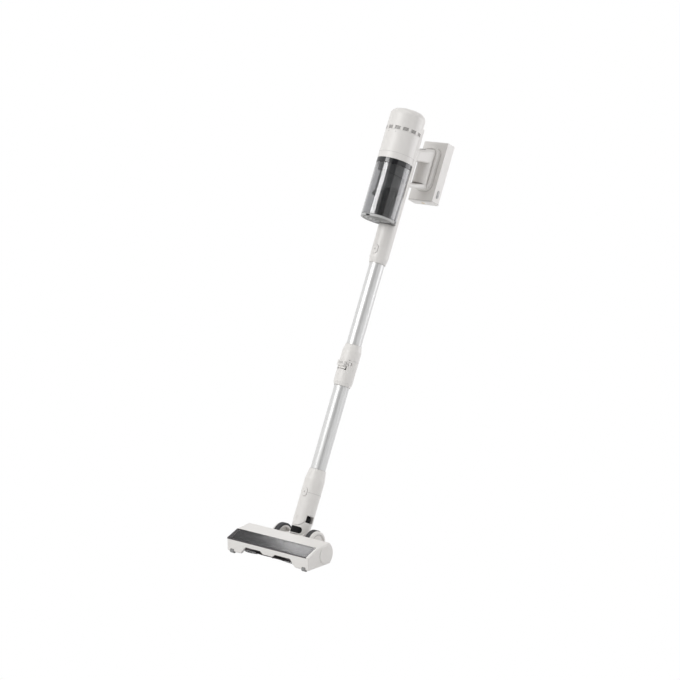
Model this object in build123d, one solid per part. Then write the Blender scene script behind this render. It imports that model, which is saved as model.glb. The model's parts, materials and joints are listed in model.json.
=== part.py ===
"""Cordless stick vacuum with a folding wand, leaning back on its floor head.

Millimetres. The floor head is laid out in floor axes: X across, Y backwards, Z up, with
Y = 0 at the head's front wall. Everything above the wheel axle is laid out in wand axes:
X across, Y out of the wand's back (called b), Z up the wand from the axle (called s).
stand() and lean() bring both to the frame of the finished part, whose origin is the middle
of the hand grip.
"""
from build123d import *
from math import atan, cos, degrees, hypot, radians, sin, sqrt
import os

os.makedirs("parts", exist_ok=True)

# ---- fits ------------------------------------------------------------------------------
RUN = 0.05          # running clearance on a radius
SLIP = 0.3          # clearance between pieces that slide or swing past each other
WALL = 2.4          # moulded wall
LEAN = 26.1         # the wand leans back by this angle at rest, in degrees

# ---- floor head ------------------------------------------------------------------------
HEAD_W = 245.0
HEAD_FLOOR = 3.5            # underside above the floor
HEAD_FRONT_H = 34.0         # height of the front wall
WINDOW_D = 34.0             # the window slopes back over this depth
WINDOW_DROP = 4.0           # the window's rear edge lies this far below the top
HEAD_TOP_D = 72.0           # depth to the back of the top panel
HEAD_TOP_H = 51.0
HEAD_D = 84.0               # depth at the fullest point of the back
CAP_T = 8.0                 # end caps
KNOB_R = 21.0               # round access knob on the right cap
KNOB_T = 1.6
KNOB_Y = 59.0
KNOB_Z = 27.0
END_EDGE = 3.0              # rounding of the ends
END_LIP = 1.0               # the window stops this short of the left end
WINDOW_T = 2.4
PANEL_T = 2.6
BRUSH_CORE_R = 12.0
BRUSH_Y = 24.0
BRUSH_Z = 19.5
BRUSH_UNDER = 1.87          # the bristles clear the underside of the window by this
BRUSH_GAP = 1.6             # between the bristles and the brush chamber
JOURNAL_R = 4.0             # brush end journals
JOURNAL_L = 5.0
MOUTH_Y0 = 8.0              # suction mouth in the underside
MOUTH_Y1 = 40.0
CUTOUT_INSET = 40.5         # from each end of the head to the cut-out in the front wall
CUTOUT_H = 21.5
CUTOUT_RAMP = 15.0          # its ends and the flanks of its lip slope over this width
LIP_X = 22.0                # half width of the lip that hangs in the middle
LIP_H = 15.5
LIP_RAMP = 8.0
PULLEY_R = 9.0
PINION_R = 5.0
BELT_T = 1.4
BELT_W = 6.0
DRIVE_Y = 60.0
DRIVE_Z = 27.0
DRIVE_R = 10.5
DRIVE_L = 38.0
DRIVE_SHAFT_R = 1.6

WHEEL_R = 29.0
TYRE_T = 5.0
WHEEL_W = 19.0
TYRE_W = 12.5               # the hub's outer flange fills the rest of the width
FLANGE_DROP = 1.5           # the flange is this much smaller than the tyre
WHEEL_X = 50.0
AXLE_R = 4.0
AXLE_Y = 102.0
ARM_X = 30.0
ARM_T = 11.0
ARM_R = 11.0
ROLLER_R = 5.2
ROLLER_W = 10.0
ROLLER_INSET = 7.5          # middle of a roller inside the end cap
ROLLER_Y = 3.2
ROLLER_PIN_R = 1.6
ROLLER_PIN_L = 2.0          # pin at each end of a roller
NOTCH_SIDE = 4.5            # the notch behind the head is this much wider than the wheels
NOTCH_Y = 75.0

# ---- neck ------------------------------------------------------------------------------
YOKE_R = 22.0
YOKE_BARREL_R = 16.0
YOKE_EAR_S = 39.0           # top of the yoke's side ears
SWIVEL_S = 46.0             # the swivel axis above the axle
BALL_R = 15.4
SWIVEL_PIN_R = 3.4
SLEEVE_R = 23.0
SLEEVE_EAR_R = 17.4
SLEEVE_GAP = 9.0            # underside of the sleeve above the swivel axis
SLEEVE_S = 136.0            # the shoulder starts here
SHOULDER_H = 25.0
SHOULDER_R = 19.4
NECK_DUCT_R = 11.0
INSERT_W = 33.0             # black insert in the front of the yoke
INSERT_S0 = 11.0
INSERT_S1 = 26.0
INSERT_T = 8.0

# ---- wand ------------------------------------------------------------------------------
TUBE_R = 17.5
TUBE_T = 1.2
SOCKET = 30.0               # how far a tube is pushed into each fitting
LOWER_TUBE_L = 197.5        # visible length
UPPER_TUBE_L = 195.5
FOLD_R = 22.0
FOLD_LOW = 51.0             # fold joint below its pin
FOLD_HIGH = 46.0            # fold joint above its pin
FOLD_BEVEL = 15.0
FOLD_PIN_B = 13.5           # the fold pin lies this far in front of the wand's axis
FOLD_PIN_R = 3.0
FOLD_HEAD_R = 4.8
TONGUE_W = 25.0
DUCT_R = 9.5
DUCT_T = 1.4
DUCT_B = 10.0
TAB_W = 21.0
TAB_OUT = 5.8               # the release tab stands this far out of the joint
TAB_UP = 4.0
TAB_DOWN = 7.6
TAB_TRAVEL = 1.2
TAB_WALL = 1.0                # tongue left between the tab's seat and the pin

# ---- main unit -------------------------------------------------------------------------
NECK_R = 22.0
FAIRING_R = 19.6             # fairing behind the motor unit
FAIRING_S = 989.0
FAIRING_EDGE = 9.0
NECK_H = 91.8               # from the end of the upper tube to the cup
NECK_BEVEL = 12.0
CUP_R = 41.4
CUP_T = 2.2
CUP_B = 40.0                # the cup's axis lies this far in front of the wand's axis
CUP_H = 140.0
COLLAR_H = 11.5
LID_T = 4.8
HINGE_B = 28.5              # lid hinge in front of the wand's axis
HINGE_R = 2.4
LID_PIN_R = 1.2
LID_PIN_X = 34.0            # half the length of the lid's hinge pin
RING_H = 15.0               # motor base ring
HOUSING_H = 52.4
DOME_H = 54.8               # filter cap
DOME_FILLET = 15.0
HOUSING_T = 2.6
VENTS = 13
VENT_W = 13.6
VENT_SLOT = 1.5
VENT_PITCH = 2.7
VENT_ROWS = 3
VENT_UP = 5.3               # centre of the vent ring above the foot of the filter cap
SHROUD_R = 27.0
SHROUD_T = 1.6
SHROUD_H = 46.0
SKIRT_R = 31.0
SKIRT_H = 4.0
CONE_R = 15.0
CONE_TIP_R = 11.0
CONE_H = 56.0
FILTER_R = 33.0
FILTER_H = 8.0
MOTOR_R = 27.0
MOTOR_H = 40.0
IMPELLER_R = 21.0
IMPELLER_H = 9.0
SHAFT_R = 2.5
HEPA_R = 34.0
HEPA_BORE_R = 14.0
HEPA_H = 18.0
BOARD_R = 31.0
BOARD_LEG = 8.0

# ---- handle and battery ----------------------------------------------------------------
GRIP_R = 18.0
GRIP_FRONT = 47.8           # front of the grip behind the wand's axis
GRIP_WALL = 4.0
PLATE_B = 71.0              # front of the battery plate behind the wand's axis
PLATE_W = 46.0
PLATE_S0 = 857.0
PLATE_S1 = 961.0
PLATE_CORNER = 16.0
LOW_UNDER = (839.0, 0.27)   # each face of the arms: height run forward to the wand's axis, slope
LOW_TOP = (847.3, 0.33)
HIGH_UNDER = (904.1, 0.22)
HIGH_TOP = (929.0, 0.36)
ARM_EDGE = 3.0              # rounding along the arms
ARM_TOP_EDGE = 7.0
PACK_B = 85.0
PACK_T = 29.0
PACK_W = 70.0
PACK_S0 = 832.0
PACK_H = 146.5
PACK_T_WALL = 2.5
PACK_FILLET = 4.0
PACK_TOP_EDGE = 3.5
CELL_R = 9.2
CELL_H = 65.0
LATCH_W = 6.5
LATCH_H = 19.0
LATCH_S = 23.5              # centre of the latch above the pack's foot
LATCH_OUT = 1.2
JACK_R = 2.75
JACK_T = 1.6
JACK_L = 8.0
FOOT_T = 3.0
CELL_GAP = 2.0
MODE_R = 7.0
MODE_OUT = 1.4

# ---- places that follow from the sizes ----------------------------------------------------
WINDOW_H = HEAD_TOP_H - WINDOW_DROP
WINDOW_RISE = (WINDOW_H - HEAD_FRONT_H) / WINDOW_D
BRUSH_R = (HEAD_FRONT_H - WINDOW_T + WINDOW_RISE * BRUSH_Y - BRUSH_Z) / hypot(1, WINDOW_RISE) - BRUSH_UNDER
CUTOUT_X = HEAD_W / 2 - CUTOUT_INSET
ROLLER_X = HEAD_W / 2 - CAP_T - ROLLER_INSET
NOTCH_X = WHEEL_X + WHEEL_W / 2 + NOTCH_SIDE
AXLE_Z = WHEEL_R
SHOULDER_TOP = SLEEVE_S + SHOULDER_H
FOLD_S = SHOULDER_TOP + LOWER_TUBE_L + FOLD_LOW
FOLD_TOP = FOLD_S + FOLD_HIGH
NECK_S0 = FOLD_TOP + UPPER_TUBE_L
CUP_S0 = NECK_S0 + NECK_H
CUP_S1 = CUP_S0 + CUP_H
RING_S1 = CUP_S1 + RING_H
CAP_S0 = RING_S1 + HOUSING_H
DOME_S = CAP_S0 + DOME_H
GRIP_B = GRIP_FRONT + GRIP_R


def arm_face(line, b):
    """Height of a face of the arms at distance b behind the wand's axis."""
    start, slope = line
    return start + slope * b


GRIP_S = (arm_face(LOW_TOP, GRIP_B) + arm_face(HIGH_UNDER, GRIP_B)) / 2

# the grip's middle in floor axes, which is the origin of the finished part
GRIP_Y = AXLE_Y + GRIP_S * sin(radians(LEAN)) + GRIP_B * cos(radians(LEAN))
GRIP_Z = AXLE_Z + GRIP_S * cos(radians(LEAN)) - GRIP_B * sin(radians(LEAN))

SHARP = (Align.CENTER, Align.CENTER, Align.MIN)


# ---- building helpers --------------------------------------------------------------------
def rod(radius, s0, s1, x=0.0, b=0.0):
    """Cylinder along Z from s0 to s1."""
    return Pos(x, b, s0) * Cylinder(radius, s1 - s0, align=SHARP)


def ring(outer, inner, s0, s1, x=0.0, b=0.0):
    return rod(outer, s0, s1, x, b) - rod(inner, s0 - 1, s1 + 1, x, b)


def taper(r0, r1, s0, s1, x=0.0, b=0.0):
    return Pos(x, b, s0) * Cone(r0, r1, s1 - s0, align=SHARP)


def rod_x(radius, x0, x1, y, z):
    """Cylinder along X from x0 to x1."""
    return Pos(x0, y, z) * Rot(0, 90, 0) * Cylinder(radius, x1 - x0, align=SHARP)


def rod_y(radius, y0, y1, x, z):
    """Cylinder along Y from y0 to y1."""
    return Pos(x, y0, z) * Rot(-90, 0, 0) * Cylinder(radius, y1 - y0, align=SHARP)


def block(x0, x1, y0, y1, z0, z1):
    return Pos((x0 + x1) / 2, (y0 + y1) / 2, (z0 + z1) / 2) * Box(x1 - x0, y1 - y0, z1 - z0)


def side_plate(points, x0, x1):
    """A closed outline in the Y-Z plane, extruded from x0 to x1."""
    face = make_face(Polyline(*[(x0, y, z) for y, z in points], close=True))
    return extrude(face, x1 - x0, dir=(1, 0, 0))


def pill(width, height, depth):
    """Upright stadium with its flat faces on Y, centred on the origin."""
    sketch = SlotOverall(height, width, rotation=90)
    return extrude(Plane.XZ * sketch, depth / 2, both=True)


def lean(piece):
    """From wand axes to the frame of the finished part."""
    return Pos(0, AXLE_Y - GRIP_Y, AXLE_Z - GRIP_Z) * Rot(-LEAN, 0, 0) * piece


def stand(piece):
    """From floor axes to the frame of the finished part."""
    return Pos(0, -GRIP_Y, -GRIP_Z) * piece


written = []


def save(name, piece):
    export_step(piece, f"parts/{name}.step")
    written.append(name)


# ---- floor head --------------------------------------------------------------------------
def head_outline(inset=0.0):
    """Side view of the head, as an outline in Y-Z."""
    front = Polyline(
        (0, HEAD_D - 12 - inset, HEAD_FLOOR + inset),
        (0, 2 + inset, HEAD_FLOOR + inset),
        (0, inset, HEAD_FLOOR + 2.5 + inset),
        (0, inset, HEAD_FRONT_H - inset),
        (0, WINDOW_D, WINDOW_H - inset),
        (0, HEAD_TOP_D - inset, HEAD_TOP_H - inset),
    )
    back = ThreePointArc(
        (0, HEAD_TOP_D - inset, HEAD_TOP_H - inset),
        (0, HEAD_D - inset, HEAD_FRONT_H - 5),
        (0, HEAD_D - 12 - inset, HEAD_FLOOR + inset),
    )
    return make_face(front + back)


def head_slice(x0, x1, inset=0.0):
    return Pos(x0, 0, 0) * extrude(head_outline(inset), x1 - x0, dir=(1, 0, 0))


def window_layer(x0, x1):
    """The space that the sloped window fills."""
    slope = (WINDOW_H - HEAD_FRONT_H) / WINDOW_D
    low = HEAD_FRONT_H - WINDOW_T
    points = [(-1, low - slope), (WINDOW_D, low + slope * WINDOW_D), (WINDOW_D, WINDOW_H + 5), (-1, WINDOW_H + 5)]
    return side_plate(points, x0, x1)


def panel_layer(x0, x1):
    """The space that the top panel fills, behind the window."""
    slope = (HEAD_TOP_H - WINDOW_H) / (HEAD_TOP_D - WINDOW_D)
    low = WINDOW_H - PANEL_T
    far = HEAD_D + 2
    points = [(WINDOW_D, low), (HEAD_TOP_D, low + slope * (HEAD_TOP_D - WINDOW_D)),
              (far, low - 6), (far, HEAD_TOP_H + 5), (WINDOW_D, HEAD_TOP_H + 5)]
    return side_plate(points, x0, x1)


HALF = HEAD_W / 2
BODY_X = HALF - CAP_T                       # the caps begin here
CHAMBER_R = BRUSH_R + BRUSH_GAP
CHAMBER_X = BODY_X - 2 * WALL - BELT_W
BELT_X0 = CHAMBER_X + WALL
BELT_X1 = BELT_X0 + BELT_W
DRIVE_X1 = BELT_X0 - WALL


def front_cutout():
    """Cut-out in the front wall with sloping ends and a shallower lip in the middle."""
    half = [(CUTOUT_X, -1), (CUTOUT_X, HEAD_FLOOR), (CUTOUT_X - CUTOUT_RAMP, CUTOUT_H),
            (LIP_X, CUTOUT_H), (LIP_X - LIP_RAMP, LIP_H)]
    outline = half + [(-x, z) for x, z in reversed(half)]
    face = make_face(Polyline(*[(x, -1, z) for x, z in outline], close=True))
    return extrude(face, BRUSH_Y + 1, dir=(0, 1, 0))


def rear_notch():
    """Notch behind the head for the wheels and the neck."""
    notch = block(-NOTCH_X, NOTCH_X, NOTCH_Y, HEAD_D + 1, -1, HEAD_TOP_H + 1)
    for side in (-1, 1):
        x0, x1 = sorted((side * (WHEEL_X - WHEEL_W / 2 - 1), side * (WHEEL_X + WHEEL_W / 2 + 1)))
        notch += rod_x(WHEEL_R + 1.2, x0, x1, AXLE_Y, AXLE_Z)
    return notch


def head_base():
    body = head_slice(-BODY_X, BODY_X)
    body -= window_layer(-BODY_X, BODY_X) + panel_layer(-BODY_X, BODY_X)
    # brush chamber with its mouth in the underside and the cut-outs in the front wall
    body -= rod_x(CHAMBER_R, -BODY_X + WALL, CHAMBER_X, BRUSH_Y, BRUSH_Z)
    body -= block(-BODY_X + WALL, CHAMBER_X, BRUSH_Y - CHAMBER_R, BRUSH_Y + CHAMBER_R, BRUSH_Z, WINDOW_H)
    body -= block(-BODY_X + 4 * WALL, CHAMBER_X - WALL, MOUTH_Y0, MOUTH_Y1, -1, BRUSH_Z)
    body -= front_cutout()
    # belt bay and drive bay, both open upwards under the window and the panel
    body -= block(BELT_X0, BELT_X1, BRUSH_Y - PULLEY_R - 4, HEAD_D - 12, HEAD_FLOOR + WALL, HEAD_TOP_H)
    bay_y0 = BRUSH_Y + CHAMBER_R + WALL
    body -= block(DRIVE_X1 - DRIVE_L - 4, DRIVE_X1, bay_y0, HEAD_D - 11, HEAD_FLOOR + WALL + 4, HEAD_TOP_H)
    body -= rod_x(DRIVE_SHAFT_R + RUN, DRIVE_X1 - 1, BELT_X0 + 1, DRIVE_Y, DRIVE_Z)
    body -= rod_x(JOURNAL_R + RUN, -BODY_X - 1, -BODY_X + WALL + 1, BRUSH_Y, BRUSH_Z)
    body -= rod_x(JOURNAL_R + RUN, CHAMBER_X - 1, BODY_X + 1, BRUSH_Y, BRUSH_Z)
    # duct from the chamber to the neck
    duct_z1 = AXLE_Z + NECK_DUCT_R
    body -= block(-NECK_DUCT_R, NECK_DUCT_R, BRUSH_Y, HEAD_D + 1, AXLE_Z - NECK_DUCT_R, duct_z1)
    # room for the neck and the wheels
    body -= rear_notch()
    for side in (-1, 1):
        rx0, rx1 = side * ROLLER_X - ROLLER_W / 2 - SLIP, side * ROLLER_X + ROLLER_W / 2 + SLIP
        body += axle_arm(side)
        body -= rod_x(AXLE_R, side * ARM_X - ARM_T, side * ARM_X + ARM_T, AXLE_Y, AXLE_Z)
        body -= rod_x(ROLLER_R + 0.8, rx0, rx1, ROLLER_Y, ROLLER_R)
        body -= block(rx0, rx1, -1, ROLLER_Y, -1, ROLLER_R)
        body -= rod_x(ROLLER_PIN_R + RUN, rx0 - ROLLER_PIN_L, rx1 + ROLLER_PIN_L, ROLLER_Y, ROLLER_R)
    return body


def axle_arm(side):
    """One of the two arms that hold the wheel axle behind the head."""
    x0, x1 = side * ARM_X - ARM_T / 2, side * ARM_X + ARM_T / 2
    root = NOTCH_Y - 4
    points = [(root, AXLE_Z - ARM_R), (AXLE_Y, AXLE_Z - ARM_R), (AXLE_Y, AXLE_Z + ARM_R), (root, AXLE_Z + ARM_R)]
    return side_plate(points, x0, x1) + rod_x(ARM_R, x0, x1, AXLE_Y, AXLE_Z)


def head_cover():
    return (head_slice(-BODY_X, BODY_X) & panel_layer(-BODY_X, BODY_X)) - rear_notch()


def head_window():
    """The window runs over the left end cap and stops at the right one."""
    return head_slice(-HALF + END_LIP, BODY_X) & window_layer(-HALF + END_LIP, BODY_X)


def end_cap(side):
    """End cap with a rounded outer edge, and on the right a socket for the brush journal."""
    outer_x = side * (HALF - (KNOB_T if side > 0 else 0))
    x0, x1 = sorted((side * BODY_X, outer_x))
    cap = head_slice(x0, x1)
    outer = cap.faces().sort_by(Axis.X)[-1 if side > 0 else 0]
    cap = fillet(outer.edges(), END_EDGE)
    if side < 0:
        return cap - window_layer(-HALF + END_LIP, -BODY_X)
    cap -= rod_x(JOURNAL_R + RUN, x0 - 1, x0 + JOURNAL_L + 1, BRUSH_Y, BRUSH_Z)
    knob = rod_x(KNOB_R, x1 - 1, x1 + KNOB_T, KNOB_Y, KNOB_Z)
    return cap + fillet(knob.edges().sort_by(Axis.X)[-1], KNOB_T - 0.2)


def brush_roll():
    """Core with end journals, and the drive pulley on the right."""
    roll = rod_x(BRUSH_CORE_R, -BODY_X + WALL + SLIP, CHAMBER_X - SLIP, BRUSH_Y, BRUSH_Z)
    roll += rod_x(JOURNAL_R, -BODY_X, BODY_X + JOURNAL_L, BRUSH_Y, BRUSH_Z)
    roll += rod_x(PULLEY_R, BELT_X0 + SLIP, BELT_X1 - SLIP, BRUSH_Y, BRUSH_Z)
    return roll


def brush_bristles():
    x0, x1 = -BODY_X + WALL + 2, CHAMBER_X - 2
    sleeve = rod_x(BRUSH_R, x0, x1, BRUSH_Y, BRUSH_Z) - rod_x(BRUSH_CORE_R, x0 - 1, x1 + 1, BRUSH_Y, BRUSH_Z)
    return sleeve


def drive_belt():
    """Flat belt round the brush pulley and the motor pinion."""
    x0, x1 = BELT_X0 + 2 * SLIP, BELT_X1 - 2 * SLIP

    def loop(grow):
        big = rod_x(PULLEY_R + grow, x0, x1, BRUSH_Y, BRUSH_Z)
        small = rod_x(PINION_R + grow, x0, x1, DRIVE_Y, DRIVE_Z)
        run_y, run_z = DRIVE_Y - BRUSH_Y, DRIVE_Z - BRUSH_Z
        length = sqrt(run_y ** 2 + run_z ** 2)
        lift = (PULLEY_R - PINION_R) / length
        flat = sqrt(1 - lift ** 2)
        along, up = (run_y / length, run_z / length), (-run_z / length, run_y / length)
        ends = []
        for centre, radius, hand in (((BRUSH_Y, BRUSH_Z), PULLEY_R, 1), ((DRIVE_Y, DRIVE_Z), PINION_R, 1),
                                     ((DRIVE_Y, DRIVE_Z), PINION_R, -1), ((BRUSH_Y, BRUSH_Z), PULLEY_R, -1)):
            out = radius + grow
            ends.append((centre[0] + out * (lift * along[0] + hand * flat * up[0]),
                         centre[1] + out * (lift * along[1] + hand * flat * up[1])))
        return big + small + side_plate(ends, x0, x1)

    return loop(SLIP + BELT_T) - loop(SLIP)


def drive_motor():
    motor = rod_x(DRIVE_R, DRIVE_X1 - DRIVE_L, DRIVE_X1 - SLIP, DRIVE_Y, DRIVE_Z)
    foot = block(DRIVE_X1 - DRIVE_L, DRIVE_X1 - SLIP, DRIVE_Y - 6, DRIVE_Y + 6, HEAD_FLOOR + WALL + 4, DRIVE_Z)
    motor += foot
    return motor - rod_x(DRIVE_SHAFT_R + RUN, DRIVE_X1 - 10, DRIVE_X1, DRIVE_Y, DRIVE_Z)


def drive_pinion():
    pinion = rod_x(PINION_R, BELT_X0 + SLIP, BELT_X1 - SLIP, DRIVE_Y, DRIVE_Z)
    return pinion + rod_x(DRIVE_SHAFT_R, DRIVE_X1 - 9, BELT_X0 + 1, DRIVE_Y, DRIVE_Z)


def across(side, start, depth):
    """From and to X of a slice of a wheel, measured outwards from its inner face."""
    inner = side * (WHEEL_X - WHEEL_W / 2)
    return sorted((inner + side * start, inner + side * (start + depth)))


def wheel_hub(side):
    """Hub with a rounded flange that covers the tyre's outer face."""
    flange = rod_x(WHEEL_R - FLANGE_DROP, *across(side, TYRE_W, WHEEL_W - TYRE_W), AXLE_Y, AXLE_Z)
    rim = flange.faces().sort_by(Axis.X)[-1 if side > 0 else 0]
    hub = fillet(rim.edges(), 4.0)
    hub += rod_x(WHEEL_R - TYRE_T, *across(side, 0, TYRE_W), AXLE_Y, AXLE_Z)
    dish = rod_x(WHEEL_R - TYRE_T - 5, *across(side, WHEEL_W - 1.6, 2), AXLE_Y, AXLE_Z)
    hub -= dish - rod_x(8, *across(side, WHEEL_W - 1.6, 1.6), AXLE_Y, AXLE_Z)
    inner = rod_x(WHEEL_R - TYRE_T - 4, *across(side, -1, TYRE_W - 3), AXLE_Y, AXLE_Z)
    hub -= inner - rod_x(9, *across(side, -1, TYRE_W - 3), AXLE_Y, AXLE_Z)
    return hub - rod_x(AXLE_R + RUN, *across(side, -1, WHEEL_W + 2), AXLE_Y, AXLE_Z)


def wheel_tyre(side):
    tyre = rod_x(WHEEL_R, *across(side, 0, TYRE_W), AXLE_Y, AXLE_Z)
    tyre = fillet(tyre.edges().filter_by(GeomType.CIRCLE), 1.6)
    return tyre - rod_x(WHEEL_R - TYRE_T, *across(side, -1, TYRE_W + 2), AXLE_Y, AXLE_Z)


def rear_axle():
    """Steel axle with a head at each end that keeps the wheels on."""
    end = WHEEL_X + WHEEL_W / 2 + SLIP
    axle = rod_x(AXLE_R, -end, end, AXLE_Y, AXLE_Z)
    for side in (-1, 1):
        x0, x1 = sorted((side * end, side * (end + 1.6)))
        axle += rod_x(AXLE_R + 2.5, x0, x1, AXLE_Y, AXLE_Z)
    return axle


def front_roller(side):
    x0, x1 = side * ROLLER_X - ROLLER_W / 2, side * ROLLER_X + ROLLER_W / 2
    pin = rod_x(ROLLER_PIN_R, x0 - ROLLER_PIN_L, x1 + ROLLER_PIN_L, ROLLER_Y, ROLLER_R)
    return pin + rod_x(ROLLER_R, x0, x1, ROLLER_Y, ROLLER_R)


# ---- neck: yoke on the wheel axle, swivel ball, sleeve --------------------------------------
def neck_yoke():
    yoke = rod(YOKE_R, 0, YOKE_EAR_S) + rod_x(YOKE_BARREL_R, -YOKE_R, YOKE_R, 0, 0)
    yoke &= block(-YOKE_R, YOKE_R, -YOKE_R, YOKE_R, -YOKE_BARREL_R, YOKE_EAR_S)
    # the sleeve's ears swing in front of and behind the ball
    ear_b = 0.52 * YOKE_R
    for b0, b1 in ((-YOKE_R - 1, -ear_b), (ear_b, YOKE_R + 1)):
        yoke -= rod_y(SLEEVE_EAR_R + 2 * SLIP, b0, b1, 0, SWIVEL_S)
    yoke -= Pos(0, 0, SWIVEL_S) * Sphere(BALL_R)
    yoke -= rod(NECK_DUCT_R, 0, SWIVEL_S)
    yoke -= block(-NECK_DUCT_R, NECK_DUCT_R, -YOKE_R - 1, 0, -9, 9)
    yoke -= block(-INSERT_W / 2, INSERT_W / 2, -YOKE_R - 1, -YOKE_R + INSERT_T, INSERT_S0, INSERT_S1)
    # slots beside the barrel for the two axle arms
    arm_in = ARM_X - ARM_T / 2 - SLIP
    yoke &= block(-arm_in, arm_in, -YOKE_R, YOKE_R, -YOKE_BARREL_R, YOKE_EAR_S)
    return yoke - rod_x(AXLE_R + RUN, -YOKE_R - 1, YOKE_R + 1, 0, 0)


def swivel_ball():
    """Hollow ball with the two swivel pins."""
    ball = Pos(0, 0, SWIVEL_S) * Sphere(BALL_R)
    pin_end = YOKE_R - 1.0
    ball += rod_y(SWIVEL_PIN_R, -pin_end, pin_end, 0, SWIVEL_S)
    return ball - rod(NECK_DUCT_R, 0, SWIVEL_S + YOKE_R)


def yoke_insert():
    """Black insert in the front of the yoke."""
    insert = block(-INSERT_W / 2, INSERT_W / 2, -YOKE_R, -YOKE_R + INSERT_T, INSERT_S0, INSERT_S1)
    insert &= rod(YOKE_R - 0.6, INSERT_S0, INSERT_S1)
    return insert - rod(NECK_DUCT_R, 0, SWIVEL_S)


def neck_sleeve():
    under = SWIVEL_S + SLEEVE_GAP
    sleeve = rod(SLEEVE_R, under, SLEEVE_S) + taper(SLEEVE_R, SHOULDER_R, SLEEVE_S, SHOULDER_TOP)
    ears = rod_y(SLEEVE_EAR_R, -SLEEVE_R, SLEEVE_R, 0, SWIVEL_S)
    ears += block(-SLEEVE_EAR_R, SLEEVE_EAR_R, -SLEEVE_R, SLEEVE_R, SWIVEL_S, under)
    ears &= rod(SLEEVE_R, SWIVEL_S - SLEEVE_EAR_R - 1, under)
    ear_b = 0.52 * YOKE_R + SLIP
    ears -= block(-SLEEVE_R, SLEEVE_R, -ear_b, ear_b, SWIVEL_S - SLEEVE_EAR_R - 1, under)
    sleeve += ears
    sleeve -= Pos(0, 0, SWIVEL_S) * Sphere(BALL_R + SLIP)
    sleeve -= rod_y(SWIVEL_PIN_R + RUN, -SLEEVE_R - 1, SLEEVE_R + 1, 0, SWIVEL_S)
    tube_end = SHOULDER_TOP - SOCKET
    sleeve -= rod(TUBE_R + SLIP, tube_end, SHOULDER_TOP + 1)
    sleeve -= rod(NECK_DUCT_R + 2, SWIVEL_S, tube_end)
    return sleeve - button_seat(SLEEVE_R, NECK_BUTTON_S, NECK_BUTTON_W, NECK_BUTTON_H)


NECK_BUTTON_S = 105.5
NECK_BUTTON_W = 13.0
NECK_BUTTON_H = 20.0
BUTTON_OUT = 1.2
BUTTON_T = 3.4
BUTTON_TRAVEL = 1.5


def front_button(radius, s, width, height):
    """Oval push button that stands a little out of the front of a round fitting."""
    return Pos(0, -radius - BUTTON_OUT + BUTTON_T / 2, s) * pill(width, height, BUTTON_T)


def button_seat(radius, s, width, height):
    """Pocket for a front button, deep enough for its travel."""
    depth = BUTTON_T + BUTTON_TRAVEL + SLIP
    place = Pos(0, -radius - BUTTON_OUT + depth / 2, s)
    return place * pill(width + 2 * SLIP, height + 2 * SLIP, depth)


# ---- wand ------------------------------------------------------------------------------------
def lower_tube():
    s0 = SHOULDER_TOP - SOCKET + SLIP
    s1 = FOLD_S - FOLD_LOW + SOCKET - 5
    return ring(TUBE_R, TUBE_R - TUBE_T, s0, s1)


def upper_tube():
    return ring(TUBE_R, TUBE_R - TUBE_T, FOLD_TOP - SOCKET + 5, NECK_S0 + SOCKET)


PIVOT_R = FOLD_R - FOLD_PIN_B                # the joint's rounding about its pin
FOLD_SPLIT = PIVOT_R + SLIP                  # underside of the fork beside the tongue
SKIRT_DOWN = 13.2                            # the tab's skirt reaches this far below the pin
SKIRT_LAP = 1.0                              # the skirt runs this far up behind the tab
FLANGE_SWING = sqrt((PIVOT_R + TAB_OUT) ** 2 + TAB_DOWN ** 2)
SKIRT_SWING = sqrt(PIVOT_R ** 2 + SKIRT_DOWN ** 2)
TAB_SWING = max(FLANGE_SWING, SKIRT_SWING) + SLIP
TAB_BEHIND = SKIRT_DOWN + 2 * SLIP - FOLD_PIN_B   # the folded tab stops in front of this


def pin_rod(radius, x0, x1):
    return rod_x(radius, x0, x1, -FOLD_PIN_B, FOLD_S)


def fold_fork():
    """Upper half of the fold joint, with the tongue that turns on the pin."""
    fork = rod(FOLD_R, FOLD_S + FOLD_SPLIT, FOLD_TOP - FOLD_BEVEL)
    fork += taper(FOLD_R, TUBE_R + 1.5, FOLD_TOP - FOLD_BEVEL, FOLD_TOP)
    half = TONGUE_W / 2
    tongue = block(-half, half, -FOLD_R, -FOLD_PIN_B + 7, FOLD_S, FOLD_S + FOLD_SPLIT)
    tongue += pin_rod(PIVOT_R, -half, half) & block(-half, half, -FOLD_R, -FOLD_PIN_B + 7, FOLD_S - FOLD_R, FOLD_S)
    fork += tongue & rod(FOLD_R, FOLD_S - FOLD_R, FOLD_TOP)
    fork -= rod(TUBE_R, FOLD_TOP - SOCKET + 5, FOLD_TOP + 1)
    fork -= rod(DUCT_R + SLIP, FOLD_S - 1, FOLD_TOP - SOCKET + 6, 0, DUCT_B)
    fork -= pin_rod(FOLD_PIN_R + RUN, -FOLD_R, FOLD_R)
    # seat of the release tab
    seat_b = -FOLD_R - 1, -FOLD_PIN_B - FOLD_PIN_R - TAB_WALL
    fork -= block(-TAB_W / 2 - SLIP, TAB_W / 2 + SLIP, *seat_b, FOLD_S - FOLD_R, FOLD_S + TAB_UP + SLIP)
    # the tongue is relieved where the tab's skirt comes in behind it
    fork -= block(-half - SLIP, half + SLIP, *seat_b, FOLD_S - FOLD_R, FOLD_S - TAB_DOWN + SKIRT_LAP + SLIP)
    return fork


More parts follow.
